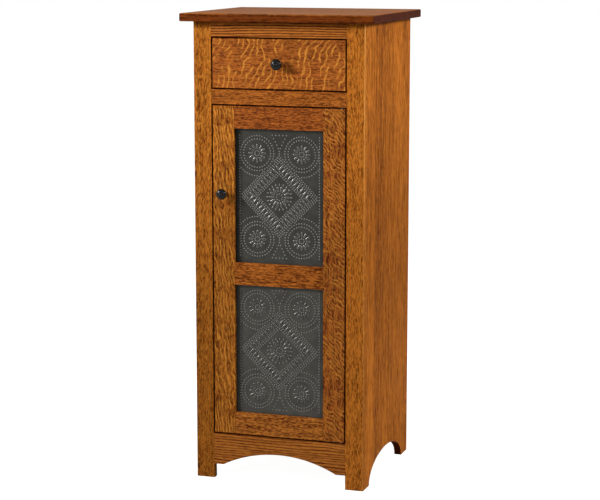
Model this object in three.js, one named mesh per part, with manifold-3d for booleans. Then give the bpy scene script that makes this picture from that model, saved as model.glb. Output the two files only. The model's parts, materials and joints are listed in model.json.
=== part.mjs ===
// A pie safe in quarter-sawn oak: an inset drawer over an inset door with two punched tins.
// Millimetres, +Z up. The origin is on the floor, in the middle of the whole outline.
import * as THREE from "three";
import { mergeVertices } from "three/addons/utils/BufferGeometryUtils.js";
import Module from "manifold-3d";

const wasm = await Module();
wasm.setup();

// Whole case
const case_width = 457;
const case_depth = 425;
const overall_height = 1219;
const side_thickness = 19;
const seam = 0.3; // the glue line or rest gap between two pieces
const cut_overrun = 2; // how far a cut runs past the face that it opens

// Top board
const top_thickness = 21;
const top_side_overhang = 28.5;
const top_front_overhang = 25.5;
const top_edge_ease = 2.5;
const top_ease_steps = 2;
const cleat_width = 30;
const cleat_height = 19;

// Face frame, with blind mortises and tenons
const frame_thickness = 19;
const frame_stile_width = 48;
const frame_top_rail_width = 39;
const frame_mid_rail_width = 39;
const drawer_opening_height = 132;
const door_sill_height = 122;
const frame_tenon_thickness = 6.5;
const frame_tenon_length = 25;
const frame_tenon_shoulder = 4.5;

// Arches between the feet
const apron_flat_height = 37.8;
const apron_flat_length = 26;
const apron_rise = 38;
const foot_width = 56;
const side_arch_rise = 68;
const arch_steps = 24;

// Panels and shelves inside
const back_thickness = 6;
const dado_depth = 9.5;
const case_bottom_thickness = 19;
const dust_panel_thickness = 12;
const shelf_thickness = 19;
const shelf_side_play = 2;
const shelf_front_setback = 24;
const shelf_back_play = 3;
const shelf_edge_ease = 2;
const lower_shelf_height = 541;
const upper_shelf_height = 741;

// Shelf pins and their holes
const pin_radius = 2.5;
const pin_depth = 8;
const pin_peg_radius = 3;
const pin_peg_length = 8;
const pin_collar_radius = 4.2;
const pin_collar_thickness = 1.2;
const pin_hole_pitch = 50;
const pin_hole_rows = 10;
const pin_front_inset = 60;
const pin_back_inset = 50;
const pin_sides = 8;

// Reveal round the drawer and the door
const reveal = 2.5;

// Drawer
const drawer_face_thickness = 19;
const drawer_board_thickness = 12.7;
const drawer_box_height = 100;
const drawer_box_lift = 12;
const drawer_bottom_thickness = 6;
const drawer_groove_height = 10;
const drawer_groove_depth = 6;
const tail_count = 4;
const tail_end_share = 0.74;
const tail_slope_share = 1 / 6;

// Telescopic slides
const slide_length = 356;
const slide_space = 12.7;
const slide_metal = 1.2;
const slide_play = 0.4;
const slide_half_height = 22.5;
const slide_flange_reach = 9.8;
const slide_lip = 1.6;
const slide_inner_setback = 3.2;
const slide_spacer_height = 60;

// Door
const door_thickness = 19;
const door_stile_width = 58;
const door_rail_width = 58;
const door_mid_rail_share = 0.4617; // of the door's height, to the rail's lower edge
const door_tenon_thickness = 6.5;
const door_tenon_length = 32;
const door_tenon_shoulder = 12;
const tin_rabbet_width = 9;
const tin_rabbet_depth = 10;

// Punched tins
const tin_thickness = 0.5;
const tin_lap = 8;
const slot_width = 2;
const rosette_place_shares = [0.5, 0.654]; // of half the pane's width and height
const corner_petal_count = 12;
const corner_petal_inner = 12.5;
const corner_petal_outer = 22.5;
const centre_petal_count = 14;
const centre_petal_inner = 15;
const centre_petal_outer = 26;
const diamond_shares = [0.658, 0.465]; // of half the pane's width and height
const diamond_slots_per_side = 10;
const diamond_slot_length = 10;

// Concealed pivot hinges
const pivot_edge_inset = 10;
const pivot_face_inset = 6.5;
const leaf_thickness = 2.4;
const leaf_width = 10;
const leaf_length = 48;
const leaf_end_steps = 8;
const leaf_hole_radius = 2;
const leaf_hole_pitch = 18;
const pivot_pin_radius = 2;
const pivot_pin_tip = 3;
const washer_radius = 4.5;
const pivot_sides = 12;

// Knobs and their screws
const knob_radius = 14.25;
const knob_projection = 27;
const knob_foot_radius = 8;
const knob_neck_radius = 5.8;
const knob_button_radius = 4.6;
const knob_thread_depth = 12;
const knob_screw_radius = 2;
const knob_screw_bite = 10;
const screw_head_radius = 4.5;
const screw_head_height = 2.6;
const knob_foot_share = 0.08; // heights, as shares of the projection
const knob_neck_share = 0.3;
const knob_head_shares = [[0.82, 0.47], [1, 0.62], [0.93, 0.74], [0.7, 0.83]];
const knob_button_shares = [[1.25, 0.88], [1, 0.86], [1, 0.94], [0.6, 1]];
const screw_rim_share = 0.6;
const screw_dome_share = 0.6;
const knob_sides = 24;
const screw_sides = 12;
const door_knob_share = 0.7364; // of the door's height

// Magnetic catch
const catch_width = 44;
const catch_depth = 14;
const catch_drop = 14;
const catch_inset = 12;
const catch_groove_width = 3.2;
const catch_groove_depth = 1.6;
const strike_height = 12;
const strike_thickness = 1.2;

// Sizes that follow
const case_height = overall_height - top_thickness;
const case_top = case_height - seam;
const frame_right = case_width - frame_stile_width;
const drawer_head = case_height - frame_top_rail_width;
const drawer_sill = drawer_head - drawer_opening_height;
const door_head = drawer_sill - frame_mid_rail_width;
const case_inside_front = frame_thickness + seam;
const back_panel_front = case_depth - back_thickness;
const case_inside_back = back_panel_front - seam;
const case_bottom_underside = door_sill_height - case_bottom_thickness;
const dust_panel_underside = door_head + (frame_mid_rail_width - dust_panel_thickness) / 2;
const opening_width = frame_right - frame_stile_width;
const drawer_face_width = opening_width - 2 * reveal;
const drawer_face_height = drawer_opening_height - 2 * reveal;
const door_width = opening_width - 2 * reveal;
const door_height = door_head - door_sill_height - 2 * reveal;
const door_mid_rail_height = door_mid_rail_share * door_height;
const door_knob_height = door_knob_share * door_height;
const slide_height = drawer_sill + reveal + drawer_box_lift + drawer_box_height / 2;
const outline_middle = (case_depth - knob_projection) / 2;

// Finishes
const oak = new THREE.MeshStandardMaterial({ color: 0xa65e20, roughness: 0.42 });
const dark_oak = new THREE.MeshStandardMaterial({ color: 0x7c4119, roughness: 0.4 });
const inside_oak = new THREE.MeshStandardMaterial({ color: 0xb9803f, roughness: 0.6 });
const maple = new THREE.MeshStandardMaterial({ color: 0xd9b98a, roughness: 0.5 });
const dark_tin = new THREE.MeshStandardMaterial({ color: 0x4b4b48, roughness: 0.45, metalness: 0.7 });
const black_iron = new THREE.MeshStandardMaterial({ color: 0x17181a, roughness: 0.35, metalness: 0.4 });
const bright_steel = new THREE.MeshStandardMaterial({ color: 0xb4b7ba, roughness: 0.3, metalness: 0.9 });
const brown_plastic = new THREE.MeshStandardMaterial({ color: 0x4a3524, roughness: 0.55 });

// Groups: the drawer's and the door's own origins are their lower left front corners
const safe = new THREE.Group();
const drawer = new THREE.Group();
const door = new THREE.Group();
safe.position.set(-case_width / 2, -outline_middle, 0);
drawer.position.set(frame_stile_width + reveal, 0, drawer_sill + reveal);
door.position.set(frame_stile_width + reveal, 0, door_sill_height + reveal);
safe.add(drawer, door);

function add(group, name, geometry, material) {
  const mesh = new THREE.Mesh(geometry, material);
  mesh.name = name;
  group.add(mesh);
}

// A closed geometry as a solid, with its shared vertices merged.
function solidOf(geometry) {
  const bare = geometry.clone();
  bare.deleteAttribute("normal");
  bare.deleteAttribute("uv");
  const merged = mergeVertices(bare);
  const corners = merged.index.array;
  const kept = [];
  for (let i = 0; i < corners.length; i += 3) {
    const [a, b, c] = [corners[i], corners[i + 1], corners[i + 2]];
    if (a !== b && b !== c && c !== a) kept.push(a, b, c);
  }
  const vertProperties = merged.attributes.position.array;
  const triVerts = new Uint32Array(kept);
  return new wasm.Manifold(new wasm.Mesh({ numProp: 3, vertProperties, triVerts }));
}

function geometryOf(solid) {
  const mesh = solid.getMesh();
  const geometry = new THREE.BufferGeometry();
  geometry.setAttribute("position", new THREE.BufferAttribute(mesh.vertProperties, 3));
  geometry.setIndex(new THREE.BufferAttribute(mesh.triVerts, 1));
  geometry.computeVertexNormals();
  return geometry;
}

function cut(body, tools) {
  return geometryOf(tools.reduce((left, tool) => left.subtract(solidOf(tool)), solidOf(body)));
}

function join(bodies) {
  return geometryOf(bodies.map(solidOf).reduce((whole, piece) => whole.add(piece)));
}

// Plain shapes, each given by the planes that bound it
function board([x0, x1], [y0, y1], [z0, z1]) {
  const box = new THREE.BoxGeometry(x1 - x0, y1 - y0, z1 - z0);
  return box.translate((x0 + x1) / 2, (y0 + y1) / 2, (z0 + z1) / 2);
}

function outline(points) {
  return new THREE.Shape(points.map(([u, v]) => new THREE.Vector2(u, v)));
}

function extrude(shape, length) {
  return new THREE.ExtrudeGeometry(shape, { depth: length, bevelEnabled: false });
}

// A (y, z) outline, run along X
function extrudeX(shape, [x0, x1]) {
  const turn = new THREE.Matrix4().set(0, 0, 1, x0, 1, 0, 0, 0, 0, 1, 0, 0, 0, 0, 0, 1);
  return extrude(shape, x1 - x0).applyMatrix4(turn);
}

// An (x, z) outline, run along Y
function extrudeY(shape, [y0, y1]) {
  const turn = new THREE.Matrix4().set(1, 0, 0, 0, 0, 0, -1, y1, 0, 1, 0, 0, 0, 0, 0, 1);
  return extrude(shape, y1 - y0).applyMatrix4(turn);
}

// An (x, y) outline, run along Z
function extrudeZ(shape, [z0, z1]) {
  return extrude(shape, z1 - z0).translate(0, 0, z0);
}

function rodX(radius, [x0, x1], y, z, sides) {
  const rod = new THREE.CylinderGeometry(radius, radius, x1 - x0, sides);
  return rod.rotateZ(Math.PI / 2).translate((x0 + x1) / 2, y, z);
}

function rodY(radius, [y0, y1], x, z, sides) {
  return new THREE.CylinderGeometry(radius, radius, y1 - y0, sides).translate(x, (y0 + y1) / 2, z);
}

function rodZ(radius, [z0, z1], x, y, sides) {
  const rod = new THREE.CylinderGeometry(radius, radius, z1 - z0, sides);
  return rod.rotateX(Math.PI / 2).translate(x, y, (z0 + z1) / 2);
}

// A turned piece on the Y axis, its profile given as radius and height
function turned(profile, sides) {
  const points = profile.map(([radius, height]) => new THREE.Vector2(radius, height));
  return geometryOf(solidOf(new THREE.LatheGeometry(points, sides)));
}

// Points on an arc of an ellipse, both ends included
function arc([u, v], [radius_u, radius_v], [start, end], steps) {
  return Array.from({ length: steps + 1 }, (_, i) => {
    const angle = start + ((end - start) * i) / steps;
    return [u + radius_u * Math.cos(angle), v + radius_v * Math.sin(angle)];
  });
}

// A span measured inwards from the case's left or right face
function fromSide(side, a, b) {
  return side === "left" ? [a, b] : [case_width - b, case_width - a];
}

function grown([a, b], by) {
  return [a - by, b + by];
}

function centred(middle, width) {
  return [middle - width / 2, middle + width / 2];
}

// Top board, its edges eased above and below
function topBoard() {
  const width = case_width + 2 * top_side_overhang;
  const depth = case_depth + top_front_overhang;
  const corners = [
    [-top_side_overhang, -top_front_overhang],
    [width - top_side_overhang, -top_front_overhang],
    [width - top_side_overhang, depth - top_front_overhang],
    [-top_side_overhang, depth - top_front_overhang],
  ];
  const eased = new THREE.ExtrudeGeometry(outline(corners), {
    depth: top_thickness - 2 * top_edge_ease,
    bevelThickness: top_edge_ease,
    bevelSize: top_edge_ease,
    bevelOffset: -top_edge_ease,
    bevelSegments: top_ease_steps,
  });
  return geometryOf(solidOf(eased.translate(0, 0, case_height + top_edge_ease)));
}

// Sides: an arch between the feet, a rabbet for the back, dados and shelf pin holes
function pinHeights() {
  const first = lower_shelf_height - Math.floor(pin_hole_rows / 2 - 1) * pin_hole_pitch;
  const axis = first - pin_peg_radius - seam;
  return Array.from({ length: pin_hole_rows }, (_, i) => axis + i * pin_hole_pitch);
}

const pin_rows_y = [case_inside_front + pin_front_inset, case_inside_back - pin_back_inset];

function sideOutline() {
  const middle = case_depth / 2;
  const arch = arc([middle, 0], [middle - foot_width, side_arch_rise], [Math.PI, 0], arch_steps);
  return outline([
    [case_inside_front, 0],
    ...arch,
    [case_depth, 0],
    [case_depth, case_top],
    [case_inside_front, case_top],
  ]);
}

function dado(side, underside, thickness) {
  const across = fromSide(side, side_thickness - dado_depth, side_thickness + cut_overrun);
  const along = [case_inside_front - cut_overrun, case_depth];
  return board(across, along, [underside - seam, underside + thickness + seam]);
}

function caseSide(side) {
  const inner = fromSide(side, side_thickness - dado_depth, side_thickness + cut_overrun);
  const rabbet_z = [case_bottom_underside - seam, case_height + cut_overrun];
  const rabbet = board(inner, [case_inside_back, case_depth + cut_overrun], rabbet_z);
  const hole_x = fromSide(side, side_thickness - pin_depth - seam, side_thickness + cut_overrun);
  const holes = pin_rows_y.flatMap((y) => {
    return pinHeights().map((z) => rodX(pin_radius + seam, hole_x, y, z, pin_sides));
  });
  const dados = [
    dado(side, case_bottom_underside, case_bottom_thickness),
    dado(side, dust_panel_underside, dust_panel_thickness),
  ];
  return cut(extrudeX(sideOutline(), fromSide(side, 0, side_thickness)), [rabbet, ...dados, ...holes]);
}

// Face frame
const frame_rails = {
  top: [drawer_head, case_top],
  mid: [door_head, drawer_sill],
  bottom: [apron_flat_height, door_sill_height],
};

const frame_tenon_y = centred(frame_thickness / 2, frame_tenon_thickness);

function tenonHeights([z0, z1], shoulder) {
  return [z0 + shoulder, z1 - shoulder];
}

function frameStile(side) {
  const depth = frame_stile_width - frame_tenon_length - seam;
  const mortise_x = fromSide(side, depth, frame_stile_width + cut_overrun);
  const mortises = Object.values(frame_rails).map((rail) => {
    const heights = grown(tenonHeights(rail, frame_tenon_shoulder), seam);
    return board(mortise_x, grown(frame_tenon_y, seam), heights);
  });
  return cut(board(fromSide(side, 0, frame_stile_width), [0, frame_thickness], [0, case_top]), mortises);
}

function frameTenons(rail) {
  const reach = frame_stile_width - frame_tenon_length;
  return ["left", "right"].map((side) => {
    const along = fromSide(side, reach, frame_stile_width + cut_overrun);
    return board(along, frame_tenon_y, tenonHeights(rail, frame_tenon_shoulder));
  });
}

const rail_x = [frame_stile_width + seam, frame_right - seam];

function frameRail(rail) {
  return join([board(rail_x, [0, frame_thickness], rail), ...frameTenons(rail)]);
}

// The bottom rail's arch is part of a circle through its two ends and its crown
function bottomRail() {
  const chord = opening_width / 2 - apron_flat_length;
  const radius = (chord ** 2 + apron_rise ** 2) / (2 * apron_rise);
  const swing = Math.asin(chord / radius);
  const centre = [case_width / 2, apron_flat_height + apron_rise - radius];
  const sweep = [Math.PI / 2 + swing, Math.PI / 2 - swing];
  const shape = outline([
    [rail_x[0], door_sill_height],
    [rail_x[0], apron_flat_height],
    ...arc(centre, [radius, radius], sweep, arch_steps),
    [rail_x[1], apron_flat_height],
    [rail_x[1], door_sill_height],
  ]);
  return join([extrudeY(shape, [0, frame_thickness]), ...frameTenons(frame_rails.bottom)]);
}

// Shelves, with an eased front edge
function shelf(underside) {
  const x = [side_thickness + shelf_side_play, case_width - side_thickness - shelf_side_play];
  const front = case_inside_front + shelf_front_setback;
  const back = case_inside_back - shelf_back_play;
  const top = underside + shelf_thickness;
  const profile = outline([
    [front, underside + shelf_edge_ease],
    [front + shelf_edge_ease, underside],
    [back, underside],
    [back, top],
    [front + shelf_edge_ease, top],
    [front, top - shelf_edge_ease],
  ]);
  return extrudeX(profile, x);
}

// A shelf pin: a shank in the side, a collar and a peg that the shelf rests on
function shelfPin(side, y, z) {
  const collar_top = seam + pin_collar_thickness;
  const profile = [
    [0, -pin_depth],
    [pin_radius, -pin_depth],
    [pin_radius, seam],
    [pin_collar_radius, seam],
    [pin_collar_radius, collar_top],
    [pin_peg_radius, collar_top],
    [pin_peg_radius, collar_top + pin_peg_length],
    [0, collar_top + pin_peg_length],
  ];
  const turn = side === "left" ? -Math.PI / 2 : Math.PI / 2;
  const x = side === "left" ? side_thickness : case_width - side_thickness;
  return turned(profile, pin_sides).rotateZ(turn).translate(x, y, z);
}

// Slides: sections as (distance from the case side, height) with the lower half mirrored
const slide_sections = {
  outer: [
    [0, slide_half_height],
    [slide_flange_reach, slide_half_height],
    [slide_flange_reach, slide_half_height - slide_metal - slide_lip],
    [slide_flange_reach - slide_metal, slide_half_height - slide_metal - slide_lip],
    [slide_flange_reach - slide_metal, slide_half_height - slide_metal],
    [slide_metal, slide_half_height - slide_metal],
  ],
  middle: middleSection(),
  inner: innerSection(),
};

function middleSection() {
  const top = slide_half_height - slide_metal - slide_play;
  const web = slide_metal + slide_play;
  const end = slide_flange_reach - slide_metal - slide_play;
  return [
    [web, top],
    [end, top],
    [end, top - slide_metal - slide_lip],
    [end - slide_metal, top - slide_metal - slide_lip],
    [end - slide_metal, top - slide_metal],
    [web + slide_metal, top - slide_metal],
  ];
}

function innerSection() {
  const foot_top = slide_half_height - 2 * slide_metal - 2 * slide_play;
  const top = foot_top - slide_lip - slide_play;
  const foot_end = slide_flange_reach - 2 * slide_metal - 2 * slide_play;
  const web = slide_space - 2 * seam;
  return [
    [web, top],
    [foot_end, top],
    [foot_end, foot_top],
    [slide_inner_setback, foot_top],
    [slide_inner_setback, top - slide_metal],
    [web - slide_metal, top - slide_metal],
  ];
}

function slideMember(section, side, y) {
  const half = slide_sections[section];
  const whole = [...half, ...half.map(([s, t]) => [s, -t]).reverse()];
  const face = side === "left" ? frame_stile_width + seam : frame_right - seam;
  const toward = side === "left" ? 1 : -1;
  const shape = outline(whole.map(([s, t]) => [face + toward * s, slide_height + t]));
  return extrudeY(shape, y);
}

// Drawer box, in the drawer's own frame
const box_x = [slide_space - reveal, drawer_face_width - slide_space + reveal];
const box_y = [drawer_face_thickness + seam, drawer_face_thickness + seam + slide_length];
const box_z = [drawer_box_lift, drawer_box_lift + drawer_box_height];
const box_inside_x = [box_x[0] + drawer_board_thickness, box_x[1] - drawer_board_thickness];
const groove_floor = box_z[0] + drawer_groove_height;
const groove_z = [groove_floor, groove_floor + drawer_bottom_thickness];
const box_back_z = [groove_z[1] + 2 * seam, box_z[1]];

// The tails along one end of a side, each with its half widths at the end and at the shoulder
function tails([z0, z1]) {
  const pitch = (z1 - z0) / tail_count;
  const at_end = (tail_end_share * pitch) / 2;
  const at_shoulder = at_end - drawer_board_thickness * tail_slope_share;
  const middles = Array.from({ length: tail_count }, (_, i) => z0 + (i + 1 / 2) * pitch);
  return middles.map((z) => ({ z, at_end, at_shoulder }));
}

function tailEdge(end, shoulder, heights) {
  return tails(heights).flatMap(({ z, at_end, at_shoulder }) => [
    [shoulder, z - at_shoulder],
    [end, z - at_end],
    [end, z + at_end],
    [shoulder, z + at_shoulder],
  ]);
}

function drawerSide(x) {
  const front_shoulder = box_y[0] + drawer_board_thickness + seam;
  const back_shoulder = box_y[1] - drawer_board_thickness - seam;
  const shape = outline([
    [front_shoulder, box_z[0]],
    ...tailEdge(box_y[0], front_shoulder, box_z),
    [front_shoulder, box_z[1]],
    [back_shoulder, box_z[1]],
    ...tailEdge(box_y[1], back_shoulder, box_back_z).reverse(),
    [back_shoulder, box_back_z[0]],
    [box_y[1], box_back_z[0] - seam],
    [box_y[1], box_z[0]],
  ]);
  const groove_front = box_y[0] + drawer_board_thickness - drawer_groove_depth - seam;
  const groove_x = [box_inside_x[0] - drawer_groove_depth, box_inside_x[1] + drawer_groove_depth];
  const groove_y = [groove_front, box_y[1] + cut_overrun];
  return cut(extrudeX(shape, x), [board(grown(groove_x, seam), groove_y, grown(groove_z, seam))]);
}

// The pins between the tails, at both ends of the drawer's front or back
function pinned(end, inner, heights) {
  const edge = tails(heights);
  const lows = [heights[0], ...edge.map(({ z, at_end }) => z + at_end + seam)];
  const highs = [...edge.map(({ z, at_end }) => z - at_end - seam), heights[1]];
  const inner_lows = [heights[0], ...edge.map(({ z, at_shoulder }) => z + at_shoulder + seam)];
  const inner_highs = [...edge.map(({ z, at_shoulder }) => z - at_shoulder - seam), heights[1]];
  const pins = lows.map((low, i) => {
    const shape = outline([
      [end, low],
      [inner, inner_lows[i]],
      [inner, inner_highs[i]],
      [end, highs[i]],
    ]);
    return extrudeX(shape, box_x);
  });
  const middle = board(grown(box_inside_x, -seam), end < inner ? [end, inner] : [inner, end], heights);
  return join([middle, ...pins]);
}

// A knob screw's hole through wood of the given depth
function screwHole(y, x, z) {
  return rodY(knob_screw_radius + seam, grown(y, cut_overrun), x, z, screw_sides);
}

function drawerBoxFront() {
  const inner = box_y[0] + drawer_board_thickness;
  const groove_y = [inner - drawer_groove_depth - seam, inner + cut_overrun];
  const groove = board(grown(box_inside_x, seam), groove_y, grown(groove_z, seam));
  const hole = screwHole([box_y[0], inner], drawer_face_width / 2, drawer_face_height / 2);
  return cut(pinned(box_y[0], inner, box_z), [groove, hole]);
}

function drawerFace() {
  const whole = board([0, drawer_face_width], [0, drawer_face_thickness], [0, drawer_face_height]);
  const span = [0, drawer_face_thickness];
  return cut(whole, [screwHole(span, drawer_face_width / 2, drawer_face_height / 2)]);
}

function drawerBottom() {
  const x = [box_inside_x[0] - drawer_groove_depth, box_inside_x[1] + drawer_groove_depth];
  const y = [box_y[0] + drawer_board_thickness - drawer_groove_depth, box_y[1]];
  return board(x, y, groove_z);
}

// A round knob, turned: a foot, a neck, a domed head with a raised button, and a blind hole
function knob(x, z) {
  const profile = [
    [0, knob_thread_depth],
    [knob_screw_radius + seam, knob_thread_depth],
    [knob_screw_radius + seam, seam],
    [knob_foot_radius, seam],
    [knob_foot_radius, knob_foot_share * knob_projection],
    [knob_neck_radius, knob_neck_share * knob_projection],
    ...knob_head_shares.map(([u, v]) => [u * knob_radius, v * knob_projection]),
    ...knob_button_shares.map(([u, v]) => [u * knob_button_radius, v * knob_projection]),
    [0, knob_projection],
  ];
  return turned(profile, knob_sides).rotateZ(Math.PI).translate(x, 0, z);
}

// A machine screw from behind, its head against the wood at the given depth
function knobScrew(x, z, depth) {
  const profile = [
    [0, -knob_screw_bite],
    [knob_screw_radius, -knob_screw_bite],
    [knob_screw_radius, depth + seam],
    [screw_head_radius, depth + seam],
    [screw_head_radius, depth + seam + screw_rim_share * screw_head_height],
    [screw_dome_share * screw_head_radius, depth + seam + screw_head_height],
    [0, depth + seam + screw_head_height],
  ];
  return turned(profile, screw_sides).translate(x, 0, z);
}

// Door frame, in the door's own frame
const door_rails = {
  top: [door_height - door_rail_width, door_height],
  mid: [door_mid_rail_height, door_mid_rail_height + door_rail_width],
  bottom: [0, door_rail_width],
};
const pane_x = [door_stile_width, door_width - door_stile_width];
const pane_z = {
  upper: [door_rails.mid[1], door_rails.top[0]],
  lower: [door_rails.bottom[1], door_rails.mid[0]],
};
const rabbet_front = door_thickness - tin_rabbet_depth;
const door_tenon_y = centred(door_thickness / 2, door_tenon_thickness);

function tinRabbets() {
  return Object.values(pane_z).map((z) => {
    const depth = [rabbet_front, door_thickness + cut_overrun];
    return board(grown(pane_x, tin_rabbet_width), depth, grown(z, tin_rabbet_width));
  });
}

function doorStile(x, extra_cuts) {
  const mortise_x = grown(pane_x, door_tenon_length + seam);
  const mortises = Object.values(door_rails).map((rail) => {
    const heights = grown(tenonHeights(rail, door_tenon_shoulder), seam);
    return board(mortise_x, grown(door_tenon_y, seam), heights);
  });
  const whole = board(x, [0, door_thickness], [0, door_height]);
  return cut(whole, [...tinRabbets(), ...mortises, ...extra_cuts]);
}

function doorRail(rail) {
  const body = cut(board(grown(pane_x, -seam), [0, door_thickness], rail), tinRabbets());
  const tenon_x = grown(pane_x, door_tenon_length);
  return join([body, board(tenon_x, door_tenon_y, tenonHeights(rail, door_tenon_shoulder))]);
}

// Tins: a traditional pattern of five rosettes and a diamond, pierced through as slots. Both
// tins are alike, so the pattern follows the lower of the two panes.
const pane_heights = Object.values(pane_z).map(([z0, z1]) => z1 - z0);
const pattern_half = [(pane_x[1] - pane_x[0]) / 2, Math.min(...pane_heights) / 2];

function slot(x, z, angle, length) {
  const [c, s] = [Math.cos(angle), Math.sin(angle)];
  const [l, w] = [length / 2, slot_width / 2];
  const corners = [
    [x - l * c, z - l * s],
    [x + w * s, z - w * c],
    [x + l * c, z + l * s],
    [x - w * s, z + w * c],
  ];
  const front = rabbet_front + seam;
  return extrudeY(outline(corners), grown([front, front + tin_thickness], cut_overrun));
}

function rosette(x, z, count, inner, outer) {
  const middle = (inner + outer) / 2;
  return Array.from({ length: count }, (_, i) => {
    const angle = (2 * Math.PI * i) / count;
    return slot(x + middle * Math.cos(angle), z + middle * Math.sin(angle), angle, outer - inner);
  });
}

// Slots stand across each side of the diamond
function diamond(x, z) {
  const [half_u, half_v] = diamond_shares.map((share, i) => share * pattern_half[i]);
  return [0, 1, 2, 3].flatMap((side) => {
    const [from, to] = [(side * Math.PI) / 2, ((side + 1) * Math.PI) / 2];
    return Array.from({ length: diamond_slots_per_side }, (_, i) => {
      const share = (i + 1 / 2) / diamond_slots_per_side;
      const u = x + half_u * ((1 - share) * Math.cos(from) + share * Math.cos(to));
      const v = z + half_v * ((1 - share) * Math.sin(from) + share * Math.sin(to));
      return slot(u, v, (from + to) / 2, diamond_slot_length);
    });
  });
}

function tin(z) {
  const [x_middle, z_middle] = [(pane_x[0] + pane_x[1]) / 2, (z[0] + z[1]) / 2];
  const front = rabbet_front + seam;
  const sheet = board(grown(pane_x, tin_lap), [front, front + tin_thickness], grown(z, tin_lap));
  const corners = [-1, 1].flatMap((right) => {
    return [-1, 1].flatMap((up) => {
      const u = x_middle + right * rosette_place_shares[0] * pattern_half[0];
      const v = z_middle + up * rosette_place_shares[1] * pattern_half[1];
      return rosette(u, v, corner_petal_count, corner_petal_inner, corner_petal_outer);
    });
  });
  const centre = rosette(x_middle, z_middle, centre_petal_count, centre_petal_inner, centre_petal_outer);
  return cut(sheet, [...corners, ...centre, ...diamond(x_middle, z_middle)]);
}

// A stop frame fills the rabbet behind a tin, flush with the door's back
function tinStop(z) {
  const y = [rabbet_front + tin_thickness + 2 * seam, door_thickness];
  const whole = board(grown(pane_x, tin_rabbet_width - seam), y, grown(z, tin_rabbet_width - seam));
  return cut(whole, [board(pane_x, grown(y, cut_overrun), z)]);
}

// Hinges: a leaf in the frame carries the pin, one in the door turns on it, a washer parts them
const pivot_x = door_width - pivot_edge_inset;
const pin_reach = leaf_thickness + pivot_pin_tip;
const lower_pin_z = [-reveal - leaf_thickness, pin_reach];
const upper_pin_z = [door_height - pin_reach, door_height + reveal + leaf_thickness];

function leafOutline(clearance) {
  const end = leaf_width / 2 + clearance;
  const far = pivot_x + leaf_width / 2 - leaf_length - clearance;
  const nose = arc([pivot_x, pivot_face_inset], [end, end], [-Math.PI / 2, Math.PI / 2], leaf_end_steps);
  return outline([...nose, [far, pivot_face_inset + end], [far, pivot_face_inset - end]]);
}

function leafHoles(z) {
  return [1, 2].map((i) => {
    const x = pivot_x - i * leaf_hole_pitch;
    return rodZ(leaf_hole_radius, grown(z, cut_overrun), x, pivot_face_inset, pin_sides);
  });
}

function frameLeaf(z, pin_z) {
  const pin = rodZ(pivot_pin_radius, pin_z, pivot_x, pivot_face_inset, pivot_sides);
  return join([cut(extrudeZ(leafOutline(0), z), leafHoles(z)), pin]);
}

// The clear space round the pin over the given heights
function pinBore(z) {
  return rodZ(pivot_pin_radius + seam, z, pivot_x, pivot_face_inset, pivot_sides);
}

function doorLeaf(z) {
  return cut(extrudeZ(leafOutline(0), z), [pinBore(grown(z, cut_overrun)), ...leafHoles(z)]);
}

function pivotWasher(z) {
  const disc = rodZ(washer_radius, z, pivot_x, pivot_face_inset, pivot_sides);
  return cut(disc, [pinBore(grown(z, cut_overrun))]);
}

// The recess that a leaf lies in
function leafRecess(z) {
  return extrudeZ(leafOutline(seam), z);
}

// The same shapes, moved from the door's frame to the case's
function toCase(geometry) {
  return geometry.translate(door.position.x, door.position.y, door.position.z);
}

// A magnetic catch under the dust panel, and its strike plate on the door's back
const catch_x = [catch_inset, catch_inset + catch_width];
const catch_front = door_thickness + seam + strike_thickness + seam;

function magneticCatch() {
  const low = door_height - catch_drop;
  const high = dust_panel_underside - seam - door.position.z;
  const body = board(catch_x, [catch_front, catch_front + catch_depth], [low, high]);
  const groove_x = centred((catch_x[0] + catch_x[1]) / 2, catch_groove_width);
  const groove_y = [catch_front - cut_overrun, catch_front + catch_groove_depth];
  return toCase(cut(body, [board(groove_x, groove_y, grown([low, high], cut_overrun))]));
}

function strikePlate() {
  const y = [door_thickness + seam, door_thickness + seam + strike_thickness];
  return board(catch_x, y, [door_height - catch_drop, door_height - catch_drop + strike_height]);
}

// Assembly: case
add(safe, "top_board", topBoard(), dark_oak);
for (const side of ["left", "right"]) {
  add(safe, side + "_side", caseSide(side), oak);
  add(safe, "frame_" + side + "_stile", frameStile(side), oak);
}
const lower_leaf_z = [-reveal - leaf_thickness, -reveal];
const upper_leaf_z = [door_height + reveal, door_height + reveal + leaf_thickness];
const lower_recess = toCase(leafRecess([lower_leaf_z[0] - seam, lower_leaf_z[1] + cut_overrun]));
const upper_recess = toCase(leafRecess([upper_leaf_z[0] - cut_overrun, upper_leaf_z[1] + seam]));
add(safe, "frame_top_rail", frameRail(frame_rails.top), oak);
add(safe, "frame_mid_rail", cut(frameRail(frame_rails.mid), [upper_recess]), oak);
add(safe, "frame_bottom_rail", cut(bottomRail(), [lower_recess]), oak);

const dado_x = grown([side_thickness, case_width - side_thickness], dado_depth - seam);
const panel_y = [case_inside_front, case_inside_back];
const back_panel_y = [back_panel_front, case_depth];
const back_panel_z = [case_bottom_underside, case_top];
const case_bottom_z = [case_bottom_underside, door_sill_height];
const dust_panel_z = [dust_panel_underside, dust_panel_underside + dust_panel_thickness];
add(safe, "back_panel", board(dado_x, back_panel_y, back_panel_z), inside_oak);
add(safe, "case_bottom", board(dado_x, panel_y, case_bottom_z), inside_oak);
add(safe, "dust_panel", board(dado_x, panel_y, dust_panel_z), inside_oak);

const inside_x = [side_thickness + seam, case_width - side_thickness - seam];
const cleat_z = [case_top - cleat_height, case_top];
const front_cleat_y = [case_inside_front, case_inside_front + cleat_width];
const rear_cleat_y = [case_inside_back - cleat_width, case_inside_back];
add(safe, "front_top_cleat", board(inside_x, front_cleat_y, cleat_z), inside_oak);
add(safe, "rear_top_cleat", board(inside_x, rear_cleat_y, cleat_z), inside_oak);

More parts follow.
